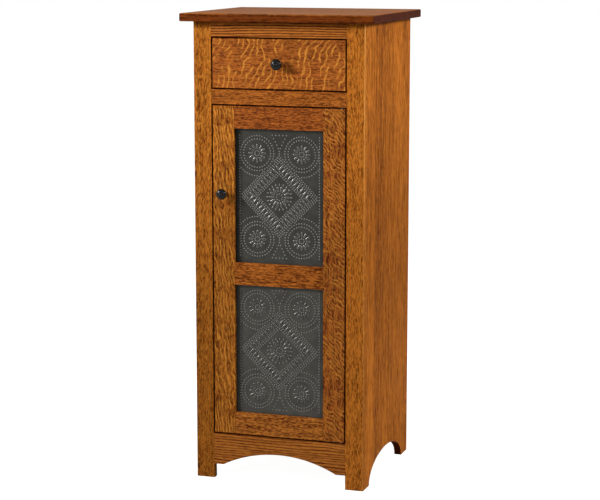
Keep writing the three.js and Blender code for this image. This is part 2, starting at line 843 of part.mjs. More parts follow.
// Assembly: shelves and their pins
for (const [name, height] of [["lower", lower_shelf_height], ["upper", upper_shelf_height]]) {
  add(safe, name + "_shelf", shelf(height), inside_oak);
  for (const side of ["left", "right"]) {
    ["front", "rear"].forEach((place, i) => {
      const pin = shelfPin(side, pin_rows_y[i], height - pin_peg_radius - seam);
      add(safe, [name, "shelf_pin", side, place].join("_"), pin, bright_steel);
    });
  }
}

// Assembly: slides, with the inner members on the drawer
const slide_y = [case_inside_front, case_inside_front + slide_length];
for (const side of ["left", "right"]) {
  const spacer_x = fromSide(side, side_thickness + seam, frame_stile_width);
  const spacer_z = centred(slide_height, slide_spacer_height);
  add(safe, side + "_slide_spacer", board(spacer_x, slide_y, spacer_z), inside_oak);
  add(safe, side + "_slide_outer", slideMember("outer", side, slide_y), bright_steel);
  add(safe, side + "_slide_middle", slideMember("middle", side, slide_y), bright_steel);
  const inner = slideMember("inner", side, slide_y);
  inner.translate(-drawer.position.x, -drawer.position.y, -drawer.position.z);
  add(drawer, side + "_slide_inner", inner, bright_steel);
}

// Assembly: drawer
const drawer_screw_depth = box_y[0] + drawer_board_thickness;
const box_back_inner = box_y[1] - drawer_board_thickness;
add(drawer, "drawer_face", drawerFace(), oak);
add(drawer, "drawer_box_front", drawerBoxFront(), maple);
add(drawer, "drawer_left_side", drawerSide([box_x[0], box_inside_x[0]]), maple);
add(drawer, "drawer_right_side", drawerSide([box_inside_x[1], box_x[1]]), maple);
add(drawer, "drawer_box_back", pinned(box_y[1], box_back_inner, box_back_z), maple);
add(drawer, "drawer_bottom", drawerBottom(), maple);
add(drawer, "drawer_knob", knob(drawer_face_width / 2, drawer_face_height / 2), black_iron);
const drawer_screw = knobScrew(drawer_face_width / 2, drawer_face_height / 2, drawer_screw_depth);
add(drawer, "drawer_knob_screw", drawer_screw, bright_steel);

// Assembly: door
const knob_x = door_stile_width / 2;
const door_knob_hole = screwHole([0, door_thickness], knob_x, door_knob_height);
const hinge_cuts = [
  leafRecess([-cut_overrun, leaf_thickness + seam]),
  leafRecess([door_height - leaf_thickness - seam, door_height + cut_overrun]),
  pinBore(grown(lower_pin_z, seam)),
  pinBore(grown(upper_pin_z, seam)),
];
add(door, "door_left_stile", doorStile([0, door_stile_width], [door_knob_hole]), oak);
add(door, "door_right_stile", doorStile([door_width - door_stile_width, door_width], hinge_cuts), oak);
for (const [place, rail] of Object.entries(door_rails)) {
  add(door, "door_" + place + "_rail", doorRail(rail), oak);
}
for (const [place, z] of Object.entries(pane_z)) {
  add(door, place + "_tin", tin(z), dark_tin);
  add(door, place + "_tin_stop", tinStop(z), oak);
}
add(door, "door_knob", knob(knob_x, door_knob_height), black_iron);
add(door, "door_knob_screw", knobScrew(knob_x, door_knob_height, door_thickness), bright_steel);

// Assembly: hinges and catch
const lower_washer_z = [seam - reveal, -seam];
const upper_washer_z = [door_height + seam, door_height + reveal - seam];
add(safe, "lower_hinge_frame_leaf", toCase(frameLeaf(lower_leaf_z, lower_pin_z)), black_iron);
add(safe, "upper_hinge_frame_leaf", toCase(frameLeaf(upper_leaf_z, upper_pin_z)), black_iron);
add(safe, "lower_hinge_washer", toCase(pivotWasher(lower_washer_z)), bright_steel);
add(safe, "upper_hinge_washer", toCase(pivotWasher(upper_washer_z)), bright_steel);
add(door, "lower_hinge_door_leaf", doorLeaf([0, leaf_thickness]), black_iron);
add(door, "upper_hinge_door_leaf", doorLeaf([door_height - leaf_thickness, door_height]), black_iron);
add(safe, "magnetic_catch", magneticCatch(), brown_plastic);
add(door, "catch_strike", strikePlate(), bright_steel);

export default safe;
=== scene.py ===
# %% [markdown]
# # A pie safe in quarter-sawn oak
#
# A pie safe is a ventilated food cupboard. This one is narrow and tall: one drawer over
# one door, and the door holds two punched tins. The imported model gives every board,
# hinge and slide its place, so the first step loads it as a fixed frame.

import json
import math

import bmesh
import bpy
from mathutils import Matrix, Vector


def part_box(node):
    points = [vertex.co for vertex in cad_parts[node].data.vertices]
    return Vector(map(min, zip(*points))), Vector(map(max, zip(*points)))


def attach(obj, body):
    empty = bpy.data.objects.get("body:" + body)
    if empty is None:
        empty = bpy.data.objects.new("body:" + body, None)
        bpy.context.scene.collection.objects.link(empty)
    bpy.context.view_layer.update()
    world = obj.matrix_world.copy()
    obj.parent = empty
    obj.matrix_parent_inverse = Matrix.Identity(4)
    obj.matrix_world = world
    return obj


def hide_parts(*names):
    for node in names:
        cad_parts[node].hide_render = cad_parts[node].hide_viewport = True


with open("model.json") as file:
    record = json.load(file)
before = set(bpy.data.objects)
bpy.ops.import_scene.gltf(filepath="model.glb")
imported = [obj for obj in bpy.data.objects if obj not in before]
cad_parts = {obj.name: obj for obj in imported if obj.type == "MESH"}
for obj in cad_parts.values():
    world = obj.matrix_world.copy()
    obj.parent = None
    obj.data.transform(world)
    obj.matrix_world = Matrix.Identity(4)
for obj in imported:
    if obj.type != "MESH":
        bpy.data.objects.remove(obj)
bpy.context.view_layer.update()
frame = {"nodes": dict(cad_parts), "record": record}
nodes = frame["nodes"]
MM = 0.001

# %% [markdown]
# ## Camera
#
# The cupboard is seen from its right, from a little above its top. A long lens keeps its
# uprights nearly parallel, as a furniture photographer would. The place was found by
# fitting the corners of the case, so it is only written down here.

# %% Camera
PICTURE_WIDTH = 600
FOCAL_PIXELS = 1870.8
SENSOR_WIDTH = 36
CAMERA_PLACE = Vector((1.551, -4.661, 1.406))
CAMERA_TURN = math.radians(18.5)
CAMERA_DIP = math.radians(9.46)


def in_scene(name, data):
    thing = bpy.data.objects.new(name, data)
    bpy.context.scene.collection.objects.link(thing)
    return thing


lens = bpy.data.cameras.new("camera")
lens.sensor_width = SENSOR_WIDTH
lens.lens = SENSOR_WIDTH * FOCAL_PIXELS / PICTURE_WIDTH
camera = in_scene("camera", lens)
camera.location = CAMERA_PLACE
camera.rotation_euler = (math.pi / 2 - CAMERA_DIP, 0, CAMERA_TURN)
bpy.context.scene.camera = camera
print("lens in mm:", round(lens.lens, 1))

# %% [markdown]
# ## Shader helpers
#
# Wood, tin and iron are all node materials, and a few small helpers keep their graphs
# readable. The first two fill a node's inputs and add a node: a value that is a socket
# is linked, and any other value is written in. The rest are the sums, smooth steps,
# mixes and noises that every finish here is made of. A noise is stretched by scaling
# its coordinates, more across the grain than along it.

# %% Node helpers
MIX_FACTOR, MIX_A, MIX_B, MIX_RESULT = 0, 6, 7, 2


def fill(tree, node, values):
    for key, value in values.items():
        if isinstance(value, bpy.types.NodeSocket):
            tree.links.new(value, node.inputs[key])
        else:
            node.inputs[key].default_value = value


def put(tree, kind, values=None, **settings):
    node = tree.nodes.new(kind)
    for key, value in settings.items():
        setattr(node, key, value)
    fill(tree, node, values or {})
    return node


def calc(tree, operation, *values, clamp=False):
    settings = {"operation": operation, "use_clamp": clamp}
    return put(tree, "ShaderNodeMath", dict(enumerate(values)), **settings).outputs[0]


def vector_calc(tree, operation, a, b):
    return put(tree, "ShaderNodeVectorMath", {0: a, 1: b}, operation=operation).outputs[0]


def times(tree, vector, factor):
    values = {0: vector, "Scale": factor}
    return put(tree, "ShaderNodeVectorMath", values, operation="SCALE").outputs[0]


def object_place(tree):
    return put(tree, "ShaderNodeTexCoord").outputs["Object"]


def parts_of(tree, vector):
    return put(tree, "ShaderNodeSeparateXYZ", {0: vector}).outputs


def distance(tree, value, middle):
    return calc(tree, "ABSOLUTE", calc(tree, "SUBTRACT", value, middle))


print("place helpers ready")

# %% Steps, mixes and noises
def step_between(tree, value, low, high, to_low=0.0, to_high=1.0):
    values = {"From Min": low, "From Max": high, "To Min": to_low, "To Max": to_high}
    values["Value"] = value
    return put(tree, "ShaderNodeMapRange", values, interpolation_type="SMOOTHSTEP").outputs[0]


def fade_out(tree, value, start, end):
    return step_between(tree, value, start, end, 1.0, 0.0)


def wave(tree, turns):
    return calc(tree, "SINE", calc(tree, "MULTIPLY", turns, 2 * math.pi))


def mixed(tree, amount, a, b, blend="MIX"):
    values = {MIX_FACTOR: amount, MIX_A: a, MIX_B: b}
    settings = {"data_type": "RGBA", "blend_type": blend, "clamp_factor": True}
    return put(tree, "ShaderNodeMix", values, **settings).outputs[MIX_RESULT]


def shaded(tree, mask, colour, shade):
    return mixed(tree, mask, colour, shade, blend="MULTIPLY")


def noise(tree, vector, scale, detail=2.0, roughness=0.5, distortion=0.0, output="Fac"):
    values = {
        "Vector": vector_calc(tree, "MULTIPLY", vector, scale),
        "Scale": 1.0, "Detail": detail, "Roughness": roughness, "Distortion": distortion,
    }
    return put(tree, "ShaderNodeTexNoise", values).outputs[output]


print("pattern helpers ready")

# %% [markdown]
# A finish that several materials share is a node group with named sockets. It is built
# once, and each material fills its inputs with values of its own. A group here puts out
# only colours, masks and heights, and the shader stays in the material.

# %% Group and material helpers
FLOAT, COLOUR, VECTOR = "NodeSocketFloat", "NodeSocketColor", "NodeSocketVector"


def new_group(name, inputs, outputs):
    tree = bpy.data.node_groups.new(name, "ShaderNodeTree")
    for way, sockets in (("INPUT", inputs), ("OUTPUT", outputs)):
        for label, kind in sockets.items():
            tree.interface.new_socket(label, in_out=way, socket_type=kind)
    return tree, tree.nodes.new("NodeGroupInput").outputs, tree.nodes.new("NodeGroupOutput")


def plain_material(name):
    material = bpy.data.materials.new(name)
    material.use_nodes = True
    tree = material.node_tree
    return material, tree, tree.nodes["Principled BSDF"]


def painted_so_far(material):
    tree = material.node_tree
    shader = tree.nodes["Principled BSDF"]
    return tree, shader, shader.inputs["Base Color"].links[0].from_socket


def rgba(red, green, blue):
    return (red, green, blue, 1.0)


print("group helpers ready")

# %% [markdown]
# ## Quarter-sawn oak
#
# Oak cut towards the heart shows three things at once: straight dark lines along the
# grain, short pores, and ray flakes, the bright ribbons that cross the grain. No two
# boards look alike, so one group makes all of it, with inputs for what differs. It
# expects the grain to run along Z, so a material turns the Object coordinates first.
#
# Seed picks a board's own piece of the pattern. Board Width and Tone Spread let one
# packed board show as several glued ones. Bands, Rings, Streaks, Lines and Speckle are
# the shares of five noises, from broad to fine, and Ring Lines is the share of evenly
# spaced growth rings. Fall is painted shade: it darkens a board downwards, as far as the
# height in Fall To, for the light that falls off towards the floor.
# The numbers below are a plain board's, and each kind of board changes some of them.

# %% Oak group: its sockets
PLAIN_BOARD = {
    "Board Width": 100.0, "Tone Spread": 0.0,
    "Flakes": 0.1, "Flake Cover": 0.3, "Flake Spacing": 0.014, "Flake Width": 0.35,
    "Slant": 0.0, "Ripple": 1.0, "Mottle": 0.0,
    "Bands": 0.14, "Rings": 0.16, "Streaks": 0.16, "Lines": 0.20, "Speckle": 0.46,
    "Ring Lines": 0.0, "Fall": 0.0, "Fall To": 0.30,
}
STAIN_LABELS = ("Pale", "Dark", "Flake Colour")
SURFACE_LOOKS = {"Color": COLOUR, "Roughness": FLOAT, "Height": FLOAT}

oak_inputs = {"Vector": VECTOR, **dict.fromkeys(("Seed", "Tone", *PLAIN_BOARD), FLOAT)}
oak_inputs.update(dict.fromkeys(STAIN_LABELS, COLOUR))
oak, given, made = new_group("oak_figure", oak_inputs, SURFACE_LOOKS)
print("oak inputs:", len(oak_inputs))

# %% [markdown]
# The grain of a tree is never quite straight. Two slow noises push the coordinates
# sideways, one by some millimetres and one by less, and every line that is drawn on the
# pushed coordinates wanders and quivers with them.

# %% Oak group: where the grain runs
SEED_STEP = (1.73, 3.17, 5.31)
BOARD_STEP = (0.37, 0.53, 4.7)
NOISE_MIDDLE = (0.5, 0.5, 0.5)
WANDER_SCALE, WANDER = (6.0, 6.0, 1.8), 0.012
QUIVER_SCALE, QUIVER = (30.0, 30.0, 9.0), 0.004


def pushed(tree, vector, place, scale, reach):
    cloud = noise(tree, place, scale, detail=1.0, output="Color")
    centred = vector_calc(tree, "SUBTRACT", cloud, NOISE_MIDDLE)
    push = vector_calc(tree, "MULTIPLY", centred, (reach, reach, 0.0))
    return vector_calc(tree, "ADD", vector, push)


start_parts = parts_of(oak, given["Vector"])
start_across = calc(oak, "ADD", start_parts["X"], start_parts["Y"])
boards_across = calc(oak, "DIVIDE", start_across, given["Board Width"])
board = calc(oak, "FLOOR", calc(oak, "ADD", boards_across, 0.5))
seed_shift = times(oak, SEED_STEP, given["Seed"])
own_shift = vector_calc(oak, "ADD", seed_shift, times(oak, BOARD_STEP, board))
placed = vector_calc(oak, "ADD", given["Vector"], own_shift)
wandering = pushed(oak, placed, placed, WANDER_SCALE, WANDER)
grain = pushed(oak, wandering, placed, QUIVER_SCALE, QUIVER)
print("nodes so far:", len(oak.nodes))

# %% [markdown]
# Each noise below is stepped, so that it has dark and pale parts with soft borders. Its
# numbers are the scales across and along the grain, the detail, the roughness, and the
# two values between which the step rises. Growth rings are the steps of a sine wave
# across the grain, whose phase drifts so that the rings open and close.

# %% Oak group: lines along the grain
GRAIN_NOISES = {
    "Bands": (11.0, 0.9, 1.0, 0.5, 0.30, 0.70),
    "Rings": (75.0, 1.3, 3.0, 0.65, 0.32, 0.68),
    "Streaks": (135.0, 8.0, 2.0, 0.5, 0.42, 0.58),
    "Lines": (260.0, 20.0, 2.0, 0.5, 0.43, 0.57),
    "Speckle": (400.0, 100.0, 1.5, 0.5, 0.42, 0.58),
}
PORE_NOISE = (600.0, 40.0, 2.0, 0.5, 0.50, 0.68)
RING_PITCH, RING_STEP = 0.0072, (-0.95, 0.25)
DRIFT_SCALE, DRIFT_TURNS = (20.0, 20.0, 1.2), 3.5


def grain_noise(across, along, detail, roughness, low, high):
    value = noise(oak, grain, (across, across, along), detail=detail, roughness=roughness)
    return step_between(oak, value, low, high)


layers = {label: grain_noise(*numbers) for label, numbers in GRAIN_NOISES.items()}
dashes = grain_noise(*PORE_NOISE)

grain_parts = parts_of(oak, grain)
grain_across = calc(oak, "ADD", grain_parts["X"], grain_parts["Y"])
ring_place = calc(oak, "DIVIDE", grain_across, RING_PITCH)
drift = noise(oak, placed, DRIFT_SCALE, detail=1.0)
ring_phase = calc(oak, "MULTIPLY_ADD", drift, DRIFT_TURNS, ring_place)
ring_lines = step_between(oak, wave(oak, ring_phase), *RING_STEP)

paleness = calc(oak, "MULTIPLY_ADD", ring_lines, given["Ring Lines"], given["Tone"])
for label, layer in layers.items():
    paleness = calc(oak, "MULTIPLY_ADD", layer, given[label], paleness)
board_seed = {"W": calc(oak, "ADD", board, given["Seed"])}
board_draw = put(oak, "ShaderNodeTexWhiteNoise", board_seed, noise_dimensions="1D")
off_mean = calc(oak, "SUBTRACT", board_draw.outputs["Value"], 0.5)
board_shade = calc(oak, "MULTIPLY", off_mean, given["Tone Spread"])
paleness = calc(oak, "ADD", paleness, board_shade, clamp=True)
body_colour = mixed(oak, paleness, given["Dark"], given["Pale"])
print("nodes so far:", len(oak.nodes))

# %% [markdown]
# Ray flakes are waves along the grain. Two noises push their phase about, which bends
# them like flames, and a third breaks them into patches. A finer one lets them glint
# unevenly, and the blots of Mottle stand for flakes that are cut too short to be
# ribbons. Slant leans the ribbons over, as on boards sawn a little off the heart.

# %% Oak group: flakes
BEND_SCALE, BEND_TURNS = (13.0, 13.0, 7.0), 4.0
RIPPLE_SCALE = (48.0, 48.0, 34.0)
PATCH_SCALE, PATCH_TOP, PATCH_SPAN, PATCH_FADE = (17.0, 17.0, 34.0), 0.68, 0.36, 0.10
GLINT_SCALE, GLINT_STEP = (70.0, 70.0, 70.0), (0.30, 0.62, 0.35, 1.0)
BLOT_SCALE, BLOT_DISTORTION, BLOT_STEP = (120.0, 120.0, 55.0), 0.8, (0.47, 0.58)

placed_parts = parts_of(oak, placed)
placed_across = calc(oak, "ADD", placed_parts["X"], placed_parts["Y"])
slanted = calc(oak, "MULTIPLY_ADD", placed_across, given["Slant"], placed_parts["Z"])
turns = calc(oak, "DIVIDE", slanted, given["Flake Spacing"])
bend = noise(oak, placed, BEND_SCALE, detail=1.0)
ripple = noise(oak, placed, RIPPLE_SCALE, detail=1.0)
turns = calc(oak, "MULTIPLY_ADD", bend, BEND_TURNS, turns)
turns = calc(oak, "MULTIPLY_ADD", ripple, given["Ripple"], turns)
crest = calc(oak, "MULTIPLY_ADD", wave(oak, turns), 0.5, 0.5)
thin = calc(oak, "SUBTRACT", 1.0, given["Flake Width"])
ribbons = step_between(oak, crest, thin, 1.0)

cover = calc(oak, "MULTIPLY", given["Flake Cover"], PATCH_SPAN)
patch_low = calc(oak, "SUBTRACT", PATCH_TOP, cover)
patch_high = calc(oak, "ADD", patch_low, PATCH_FADE)
patches = step_between(oak, noise(oak, placed, PATCH_SCALE), patch_low, patch_high)
glint = step_between(oak, noise(oak, placed, GLINT_SCALE), *GLINT_STEP)
flakes = calc(oak, "MULTIPLY", calc(oak, "MULTIPLY", ribbons, patches), glint)
blot_noise = noise(oak, placed, BLOT_SCALE, distortion=BLOT_DISTORTION)
blots = step_between(oak, blot_noise, *BLOT_STEP)
flakes = calc(oak, "MAXIMUM", flakes, calc(oak, "MULTIPLY", blots, given["Mottle"]))
flakes = calc(oak, "MULTIPLY", flakes, given["Flakes"], clamp=True)
with_flakes = mixed(oak, flakes, body_colour, given["Flake Colour"])
print("nodes so far:", len(oak.nodes))

# %% [markdown]
# Stain stays in the pores, so they are dark dashes, a little rougher and lower than the
# wood round them. A flake is dense and has few pores, so it hides most of the dashes.

# %% Oak group: pores, fall and output
PORE_SHADE, PORE_STRENGTH = rgba(0.30, 0.22, 0.17), 0.6
PORES_HIDDEN = 0.7
FALL_FROM, FALL_PAINTED_SHADE = 0.98, rgba(0.0, 0.0, 0.0)
WOOD_ROUGHNESS, PORE_ROUGHNESS = 0.46, 0.12
LINE_HEIGHT, PORE_HEIGHT = 0.3, -1.0

open_wood = calc(oak, "MULTIPLY_ADD", flakes, -PORES_HIDDEN, 1.0)
pores = calc(oak, "MULTIPLY", dashes, open_wood)
pore_mask = calc(oak, "MULTIPLY", pores, PORE_STRENGTH)
with_pores = shaded(oak, pore_mask, with_flakes, PORE_SHADE)
# Fall is painted shade: the colour goes towards black downwards, as far as the height in Fall To.
low_down = step_between(oak, start_parts["Z"], FALL_FROM, given["Fall To"])
painted_fall = calc(oak, "MULTIPLY", low_down, given["Fall"])
pore_height = calc(oak, "MULTIPLY", pores, PORE_HEIGHT)
oak_looks = {
    "Color": mixed(oak, painted_fall, with_pores, FALL_PAINTED_SHADE),
    "Roughness": calc(oak, "MULTIPLY_ADD", pores, PORE_ROUGHNESS, WOOD_ROUGHNESS),
    "Height": calc(oak, "MULTIPLY_ADD", layers["Lines"], LINE_HEIGHT, pore_height),
}
fill(oak, made, oak_looks)
print("oak group nodes:", len(oak.nodes))

# %% [markdown]
# ## Dark glaze at the gaps
#
# Painted shade darkens the faces close to the gaps round a drawer and a door, so the
# gaps read as crisp dark lines. In the plane of the front an opening is a rectangle, and
# a point is past its outline by the larger of two differences, one for each axis. The
# mask is 1 close to either outline and 0 elsewhere. The rectangles come from the imported
# boards.

# %% Gap shade group
GAP = 2.5 * MM
GAP_SHADE_REACH = 0.5 * MM
GAP_SHADE_FADE = 1.0 * MM
GAP_PAINTED_SHADE = rgba(0.22, 0.14, 0.10)


def outline_distance(tree, vector, low, high):
    spans = {"X": (low.x, high.x), "Z": (low.z, high.z)}
    parts = parts_of(tree, vector)
    past = []
    for axis, (start, end) in spans.items():
        off_middle = distance(tree, parts[axis], (start + end) / 2)
        past.append(calc(tree, "SUBTRACT", off_middle, (end - start) / 2 + GAP / 2))
    return calc(tree, "ABSOLUTE", calc(tree, "MAXIMUM", *past))


gap_shade, given, made = new_group("gap_painted_shade", {"Vector": VECTOR}, {"Mask": FLOAT})
door_low, door_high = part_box("door_left_stile")[0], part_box("door_right_stile")[1]
drawer_low, drawer_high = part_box("drawer_face")
to_door = outline_distance(gap_shade, given["Vector"], door_low, door_high)
to_drawer = outline_distance(gap_shade, given["Vector"], drawer_low, drawer_high)
nearest = calc(gap_shade, "MINIMUM", to_door, to_drawer)
gap_shade_end = GAP / 2 + GAP_SHADE_REACH
fill(gap_shade, made, {"Mask": fade_out(gap_shade, nearest, gap_shade_end, gap_shade_end + GAP_SHADE_FADE)})
door_span = door_high - door_low
print("door in mm:", round(door_span.x / MM, 1), "by", round(door_span.z / MM, 1))

# %% [markdown]
# ## Stains and figures
#
# One stain takes differently on every board, so there are several hues of it. A figure
# says how one kind of board differs from a plain one. Rails have hardly any flakes, only
# level lines. The left stile's flakes lean one way and the right stile's the other, the
# door's stiles are flamed and dense, and the drawer's front has the showiest ribbons.

# %% Stains
FLAKE_LABELS = (
    "Flakes", "Flake Cover", "Flake Spacing", "Flake Width", "Slant", "Ripple", "Mottle",
)


def stain(*colours):
    return {label: rgba(*colour) for label, colour in zip(STAIN_LABELS, colours)}


def flaked(*numbers):
    return dict(zip(FLAKE_LABELS, numbers))


AMBER = stain((0.57, 0.177, 0.021), (0.085, 0.016, 0.002), (0.70, 0.268, 0.035))
RUSSET = stain((0.49, 0.134, 0.021), (0.08, 0.015, 0.004), (0.66, 0.25, 0.035))
HONEY = stain((0.53, 0.182, 0.028), (0.08, 0.012, 0.002), (0.66, 0.26, 0.04))
GOLDEN = stain((0.54, 0.172, 0.027), (0.08, 0.014, 0.002), (0.66, 0.26, 0.04))
CHESTNUT = stain((0.50, 0.149, 0.022), (0.08, 0.016, 0.002), (0.66, 0.25, 0.035))
BROWN = stain((0.40, 0.125, 0.018), (0.065, 0.017, 0.004), (0.42, 0.15, 0.03))
THIN_STAIN = stain((0.50, 0.27, 0.10), (0.30, 0.13, 0.04), (0.62, 0.38, 0.17))
MAPLE = stain((0.72, 0.52, 0.32), (0.60, 0.40, 0.22), (0.76, 0.58, 0.38))
print("amber:", AMBER["Pale"][:3])

# %% Figures
SPECKLED = flaked(0.35, 0.6, 0.03, 0.6, 4.5, 2.0, 0.4)
LEANING = flaked(0.5, 0.7, 0.03, 0.6, -3.2, 2.6, 0.6)
FLAMED = flaked(0.97, 0.8, 0.080, 0.6, 8.0, 1.7, 0.25)
DENSE = flaked(0.78, 0.85, 0.012, 0.6, 0.9, 2.6, 0.35)
SHOWY = flaked(1.0, 0.73, 0.016, 0.34, 0.35, 1.3, 0.16)
LONG_GRAIN = {"Lines": 0.46, "Speckle": 0.16}
LINED = {"Ring Lines": 0.46, "Streaks": 0.10, "Lines": 0.14, "Speckle": 0.14}
FINE_GRAIN = {"Bands": 0.20, "Rings": 0.14, "Streaks": 0.10, "Lines": 0.24, "Speckle": 0.52}
SIDE_STRETCH = 0.6
SIDE_GRAIN = {
    "Bands": 0.24, "Rings": 0.10, "Streaks": 0.10, "Lines": 0.32, "Speckle": 0.26,
    "Board Width": 0.083 * SIDE_STRETCH, "Tone Spread": 0.34,
}
TOP_GRAIN = {
    "Flakes": 0.5, "Mottle": 0.9, "Rings": 0.55, "Streaks": 0.42, "Speckle": 0.30,
    "Ring Lines": 0.30, "Board Width": 0.113, "Tone Spread": 0.3,
}
print("a showy board:", SHOWY)

# %% [markdown]
# ## Oak finishes
#
# Every board gets its own piece of the pattern, by a seed, so no two boards repeat. The
# stiles and the sides have upright grain and the rails have level grain. A side is wide
# and its lines are coarse, so its pattern is enlarged. The stiles take painted shade that
# darkens them a little towards the floor, where the light on them falls off. The wax is
# thin: a low specular level keeps a pale room from laying a grey veil on boards that are
# seen at a slant.
#
# A row of the table is the grain's way, the seed, the stain, what differs from a plain
# board, the tone, the specular level, whether it takes painted shade at the gaps, and the
# enlargement.

# %% Oak materials
GRAIN_TURNS = {"up": (0, 0, 0), "level": (0, math.pi / 2, 0)}
GRAIN_BUMP = {"Strength": 0.5, "Distance": 0.15 * MM}
OAK_GLOSS, SIDE_GLOSS, TOP_GLOSS = 0.03, 0.003, 0.008


def oak_material(
    name, way, seed, colours, figure, tone=0.1, gloss=OAK_GLOSS, gap_shaded=True, stretch=1.0
):
    material, tree, shader = plain_material(name)
    place = object_place(tree)
    turn = {"Vector": place, "Rotation": GRAIN_TURNS[way], "Scale": (stretch,) * 3}
    turned = put(tree, "ShaderNodeMapping", turn).outputs[0]
    values = {"Vector": turned, "Seed": seed, "Tone": tone, **PLAIN_BOARD, **figure, **colours}
    wood = put(tree, "ShaderNodeGroup", values, node_tree=oak).outputs
    colour = wood["Color"]
    # Painted shade along the gaps round the door and the drawer.
    if gap_shaded:
        mask = put(tree, "ShaderNodeGroup", {"Vector": place}, node_tree=gap_shade).outputs[0]
        colour = shaded(tree, mask, colour, GAP_PAINTED_SHADE)
    bump = put(tree, "ShaderNodeBump", {"Height": wood["Height"], **GRAIN_BUMP})
    fill(tree, shader, {"Base Color": colour, "Roughness": wood["Roughness"]})
    fill(tree, shader, {"Normal": bump.outputs[0], "Specular IOR Level": gloss})
    return material


def finish_node(name, material):
    for slot in nodes[name].material_slots:
        slot.material = material


print("ways of the grain:", sorted(GRAIN_TURNS))

# %% Boards seen from outside
# Fall on the stiles is painted shade, darker towards the floor.
LEFT_STILE = {**LEANING, "Fall": 0.40}
RIGHT_STILE = {**SPECKLED, "Fall": 0.20, "Fall To": 0.60, "Lines": 0.30, "Speckle": 0.62}
DOOR_LEFT_STILE = {**FLAMED, "Fall": 0.31, "Fall To": 0.60}
DOOR_RIGHT_STILE = {**DENSE, "Fall": 0.22, "Fall To": 0.50}
OAK_BOARDS = {
    "left_side": ("up", 1, AMBER, SIDE_GRAIN, 0.13, SIDE_GLOSS, True, SIDE_STRETCH),
    "right_side": ("up", 2, AMBER, SIDE_GRAIN, 0.13, SIDE_GLOSS, True, SIDE_STRETCH),
    "frame_left_stile": ("up", 3, AMBER, LEFT_STILE, -0.08, SIDE_GLOSS),
    "frame_right_stile": ("up", 4, AMBER, RIGHT_STILE, 0.10, SIDE_GLOSS),
    "frame_top_rail": ("level", 5, GOLDEN, {**LINED, "Ring Lines": 0.80}, -0.20),
    "frame_mid_rail": ("level", 6, CHESTNUT, FINE_GRAIN, -0.115),
    "frame_bottom_rail": ("level", 7, HONEY, LINED, -0.18),
    "drawer_face": ("level", 8, RUSSET, SHOWY, -0.02),
    "door_left_stile": ("up", 9, AMBER, DOOR_LEFT_STILE, -0.15),
    "door_right_stile": ("up", 10, RUSSET, DOOR_RIGHT_STILE, -0.19),
    "door_top_rail": ("level", 11, RUSSET, FINE_GRAIN, -0.10),
    "door_mid_rail": ("level", 12, CHESTNUT, FINE_GRAIN, -0.118),
    "door_bottom_rail": ("level", 13, HONEY, FINE_GRAIN, -0.02),
    "upper_tin_stop": ("up", 14, AMBER, {}),
    "lower_tin_stop": ("up", 15, AMBER, {}),
    "top_board": ("level", 16, BROWN, TOP_GRAIN, -0.33, TOP_GLOSS, False),
}
oak_finishes = {name: oak_material("oak_" + name, *row) for name, row in OAK_BOARDS.items()}
for name, finish in oak_finishes.items():
    finish_node(name, finish)
print("oak boards:", len(oak_finishes))

# %% [markdown]
# ## Unseen boards
#
# The boards inside the case were only wiped with stain, so they are paler, and they have
# no painted shade at their edges. The drawer's box is pale maple. Maple has no flakes to
# speak of, but its fine long grain is the same noise with pale colours.

# %% Inside boards and the drawer's box
INSIDE_SEED, MAPLE_SEED = 21, 31
INSIDE_BOARDS = (
    "back_panel", "case_bottom", "dust_panel", "front_top_cleat", "rear_top_cleat",
    "lower_shelf", "upper_shelf", "left_slide_spacer", "right_slide_spacer",
)
MAPLE_BOARDS = (
    "drawer_box_front", "drawer_box_back", "drawer_left_side", "drawer_right_side",
    "drawer_bottom",
)


def finish_boards(prefix, colours, first_seed, names):
    for seed, name in enumerate(names, first_seed):
        way = "up" if name == "back_panel" else "level"
        finish = oak_material(prefix + name, way, seed, colours, LONG_GRAIN, gap_shaded=False)
        finish_node(name, finish)
    print(prefix + "boards:", len(names))


finish_boards("inside_", THIN_STAIN, INSIDE_SEED, INSIDE_BOARDS)
finish_boards("maple_", MAPLE, MAPLE_SEED, MAPLE_BOARDS)

# %% [markdown]
# ## Edges, end grain and painted light
#
# Stain soaks deeper into end grain than into a planed face. The top board's edges carry
# painted shade, so they are darker than its face, and its ends are darker still, where
# the end grain takes more stain. Painted shade makes the sawn arch of a side and the
# side's inner face low down nearly black, and a side also has painted shade about half
# height. A side is paler along its rearmost strip, a board of its own tone. The front
# corner of the right stile carries a painted highlight, most of all high up. Each mask is
# made of smooth steps on the Object coordinates. Both sides share one group, and the
# other two belong to one board each.

# %% Side shading group
# Painted shade under the case: the arch's sawn edge and the side's inner face near the floor go
# nearly black.
ARCH_PAINTED_SHADE = rgba(0.22, 0.13, 0.08)
SAWN_STEP = (0.3 * MM, 1.0 * MM)
ARCH_INSET, ARCH_INSET_FADE = 20 * MM, 5 * MM
ARCH_FADE = (150 * MM, 170 * MM)
# Painted shade that darkens a side a little about half height.
MIDDLE_PAINTED_SHADE, MIDDLE_SHADE_HEIGHT, MIDDLE_SHADE_FADE = rgba(0.79, 0.78, 0.71), 0.60, (0.08, 0.42)
STRIP_SHADE, STRIP_WIDTH, STRIP_FADE = rgba(1.12, 1.03, 0.95), 20 * MM, 1 * MM

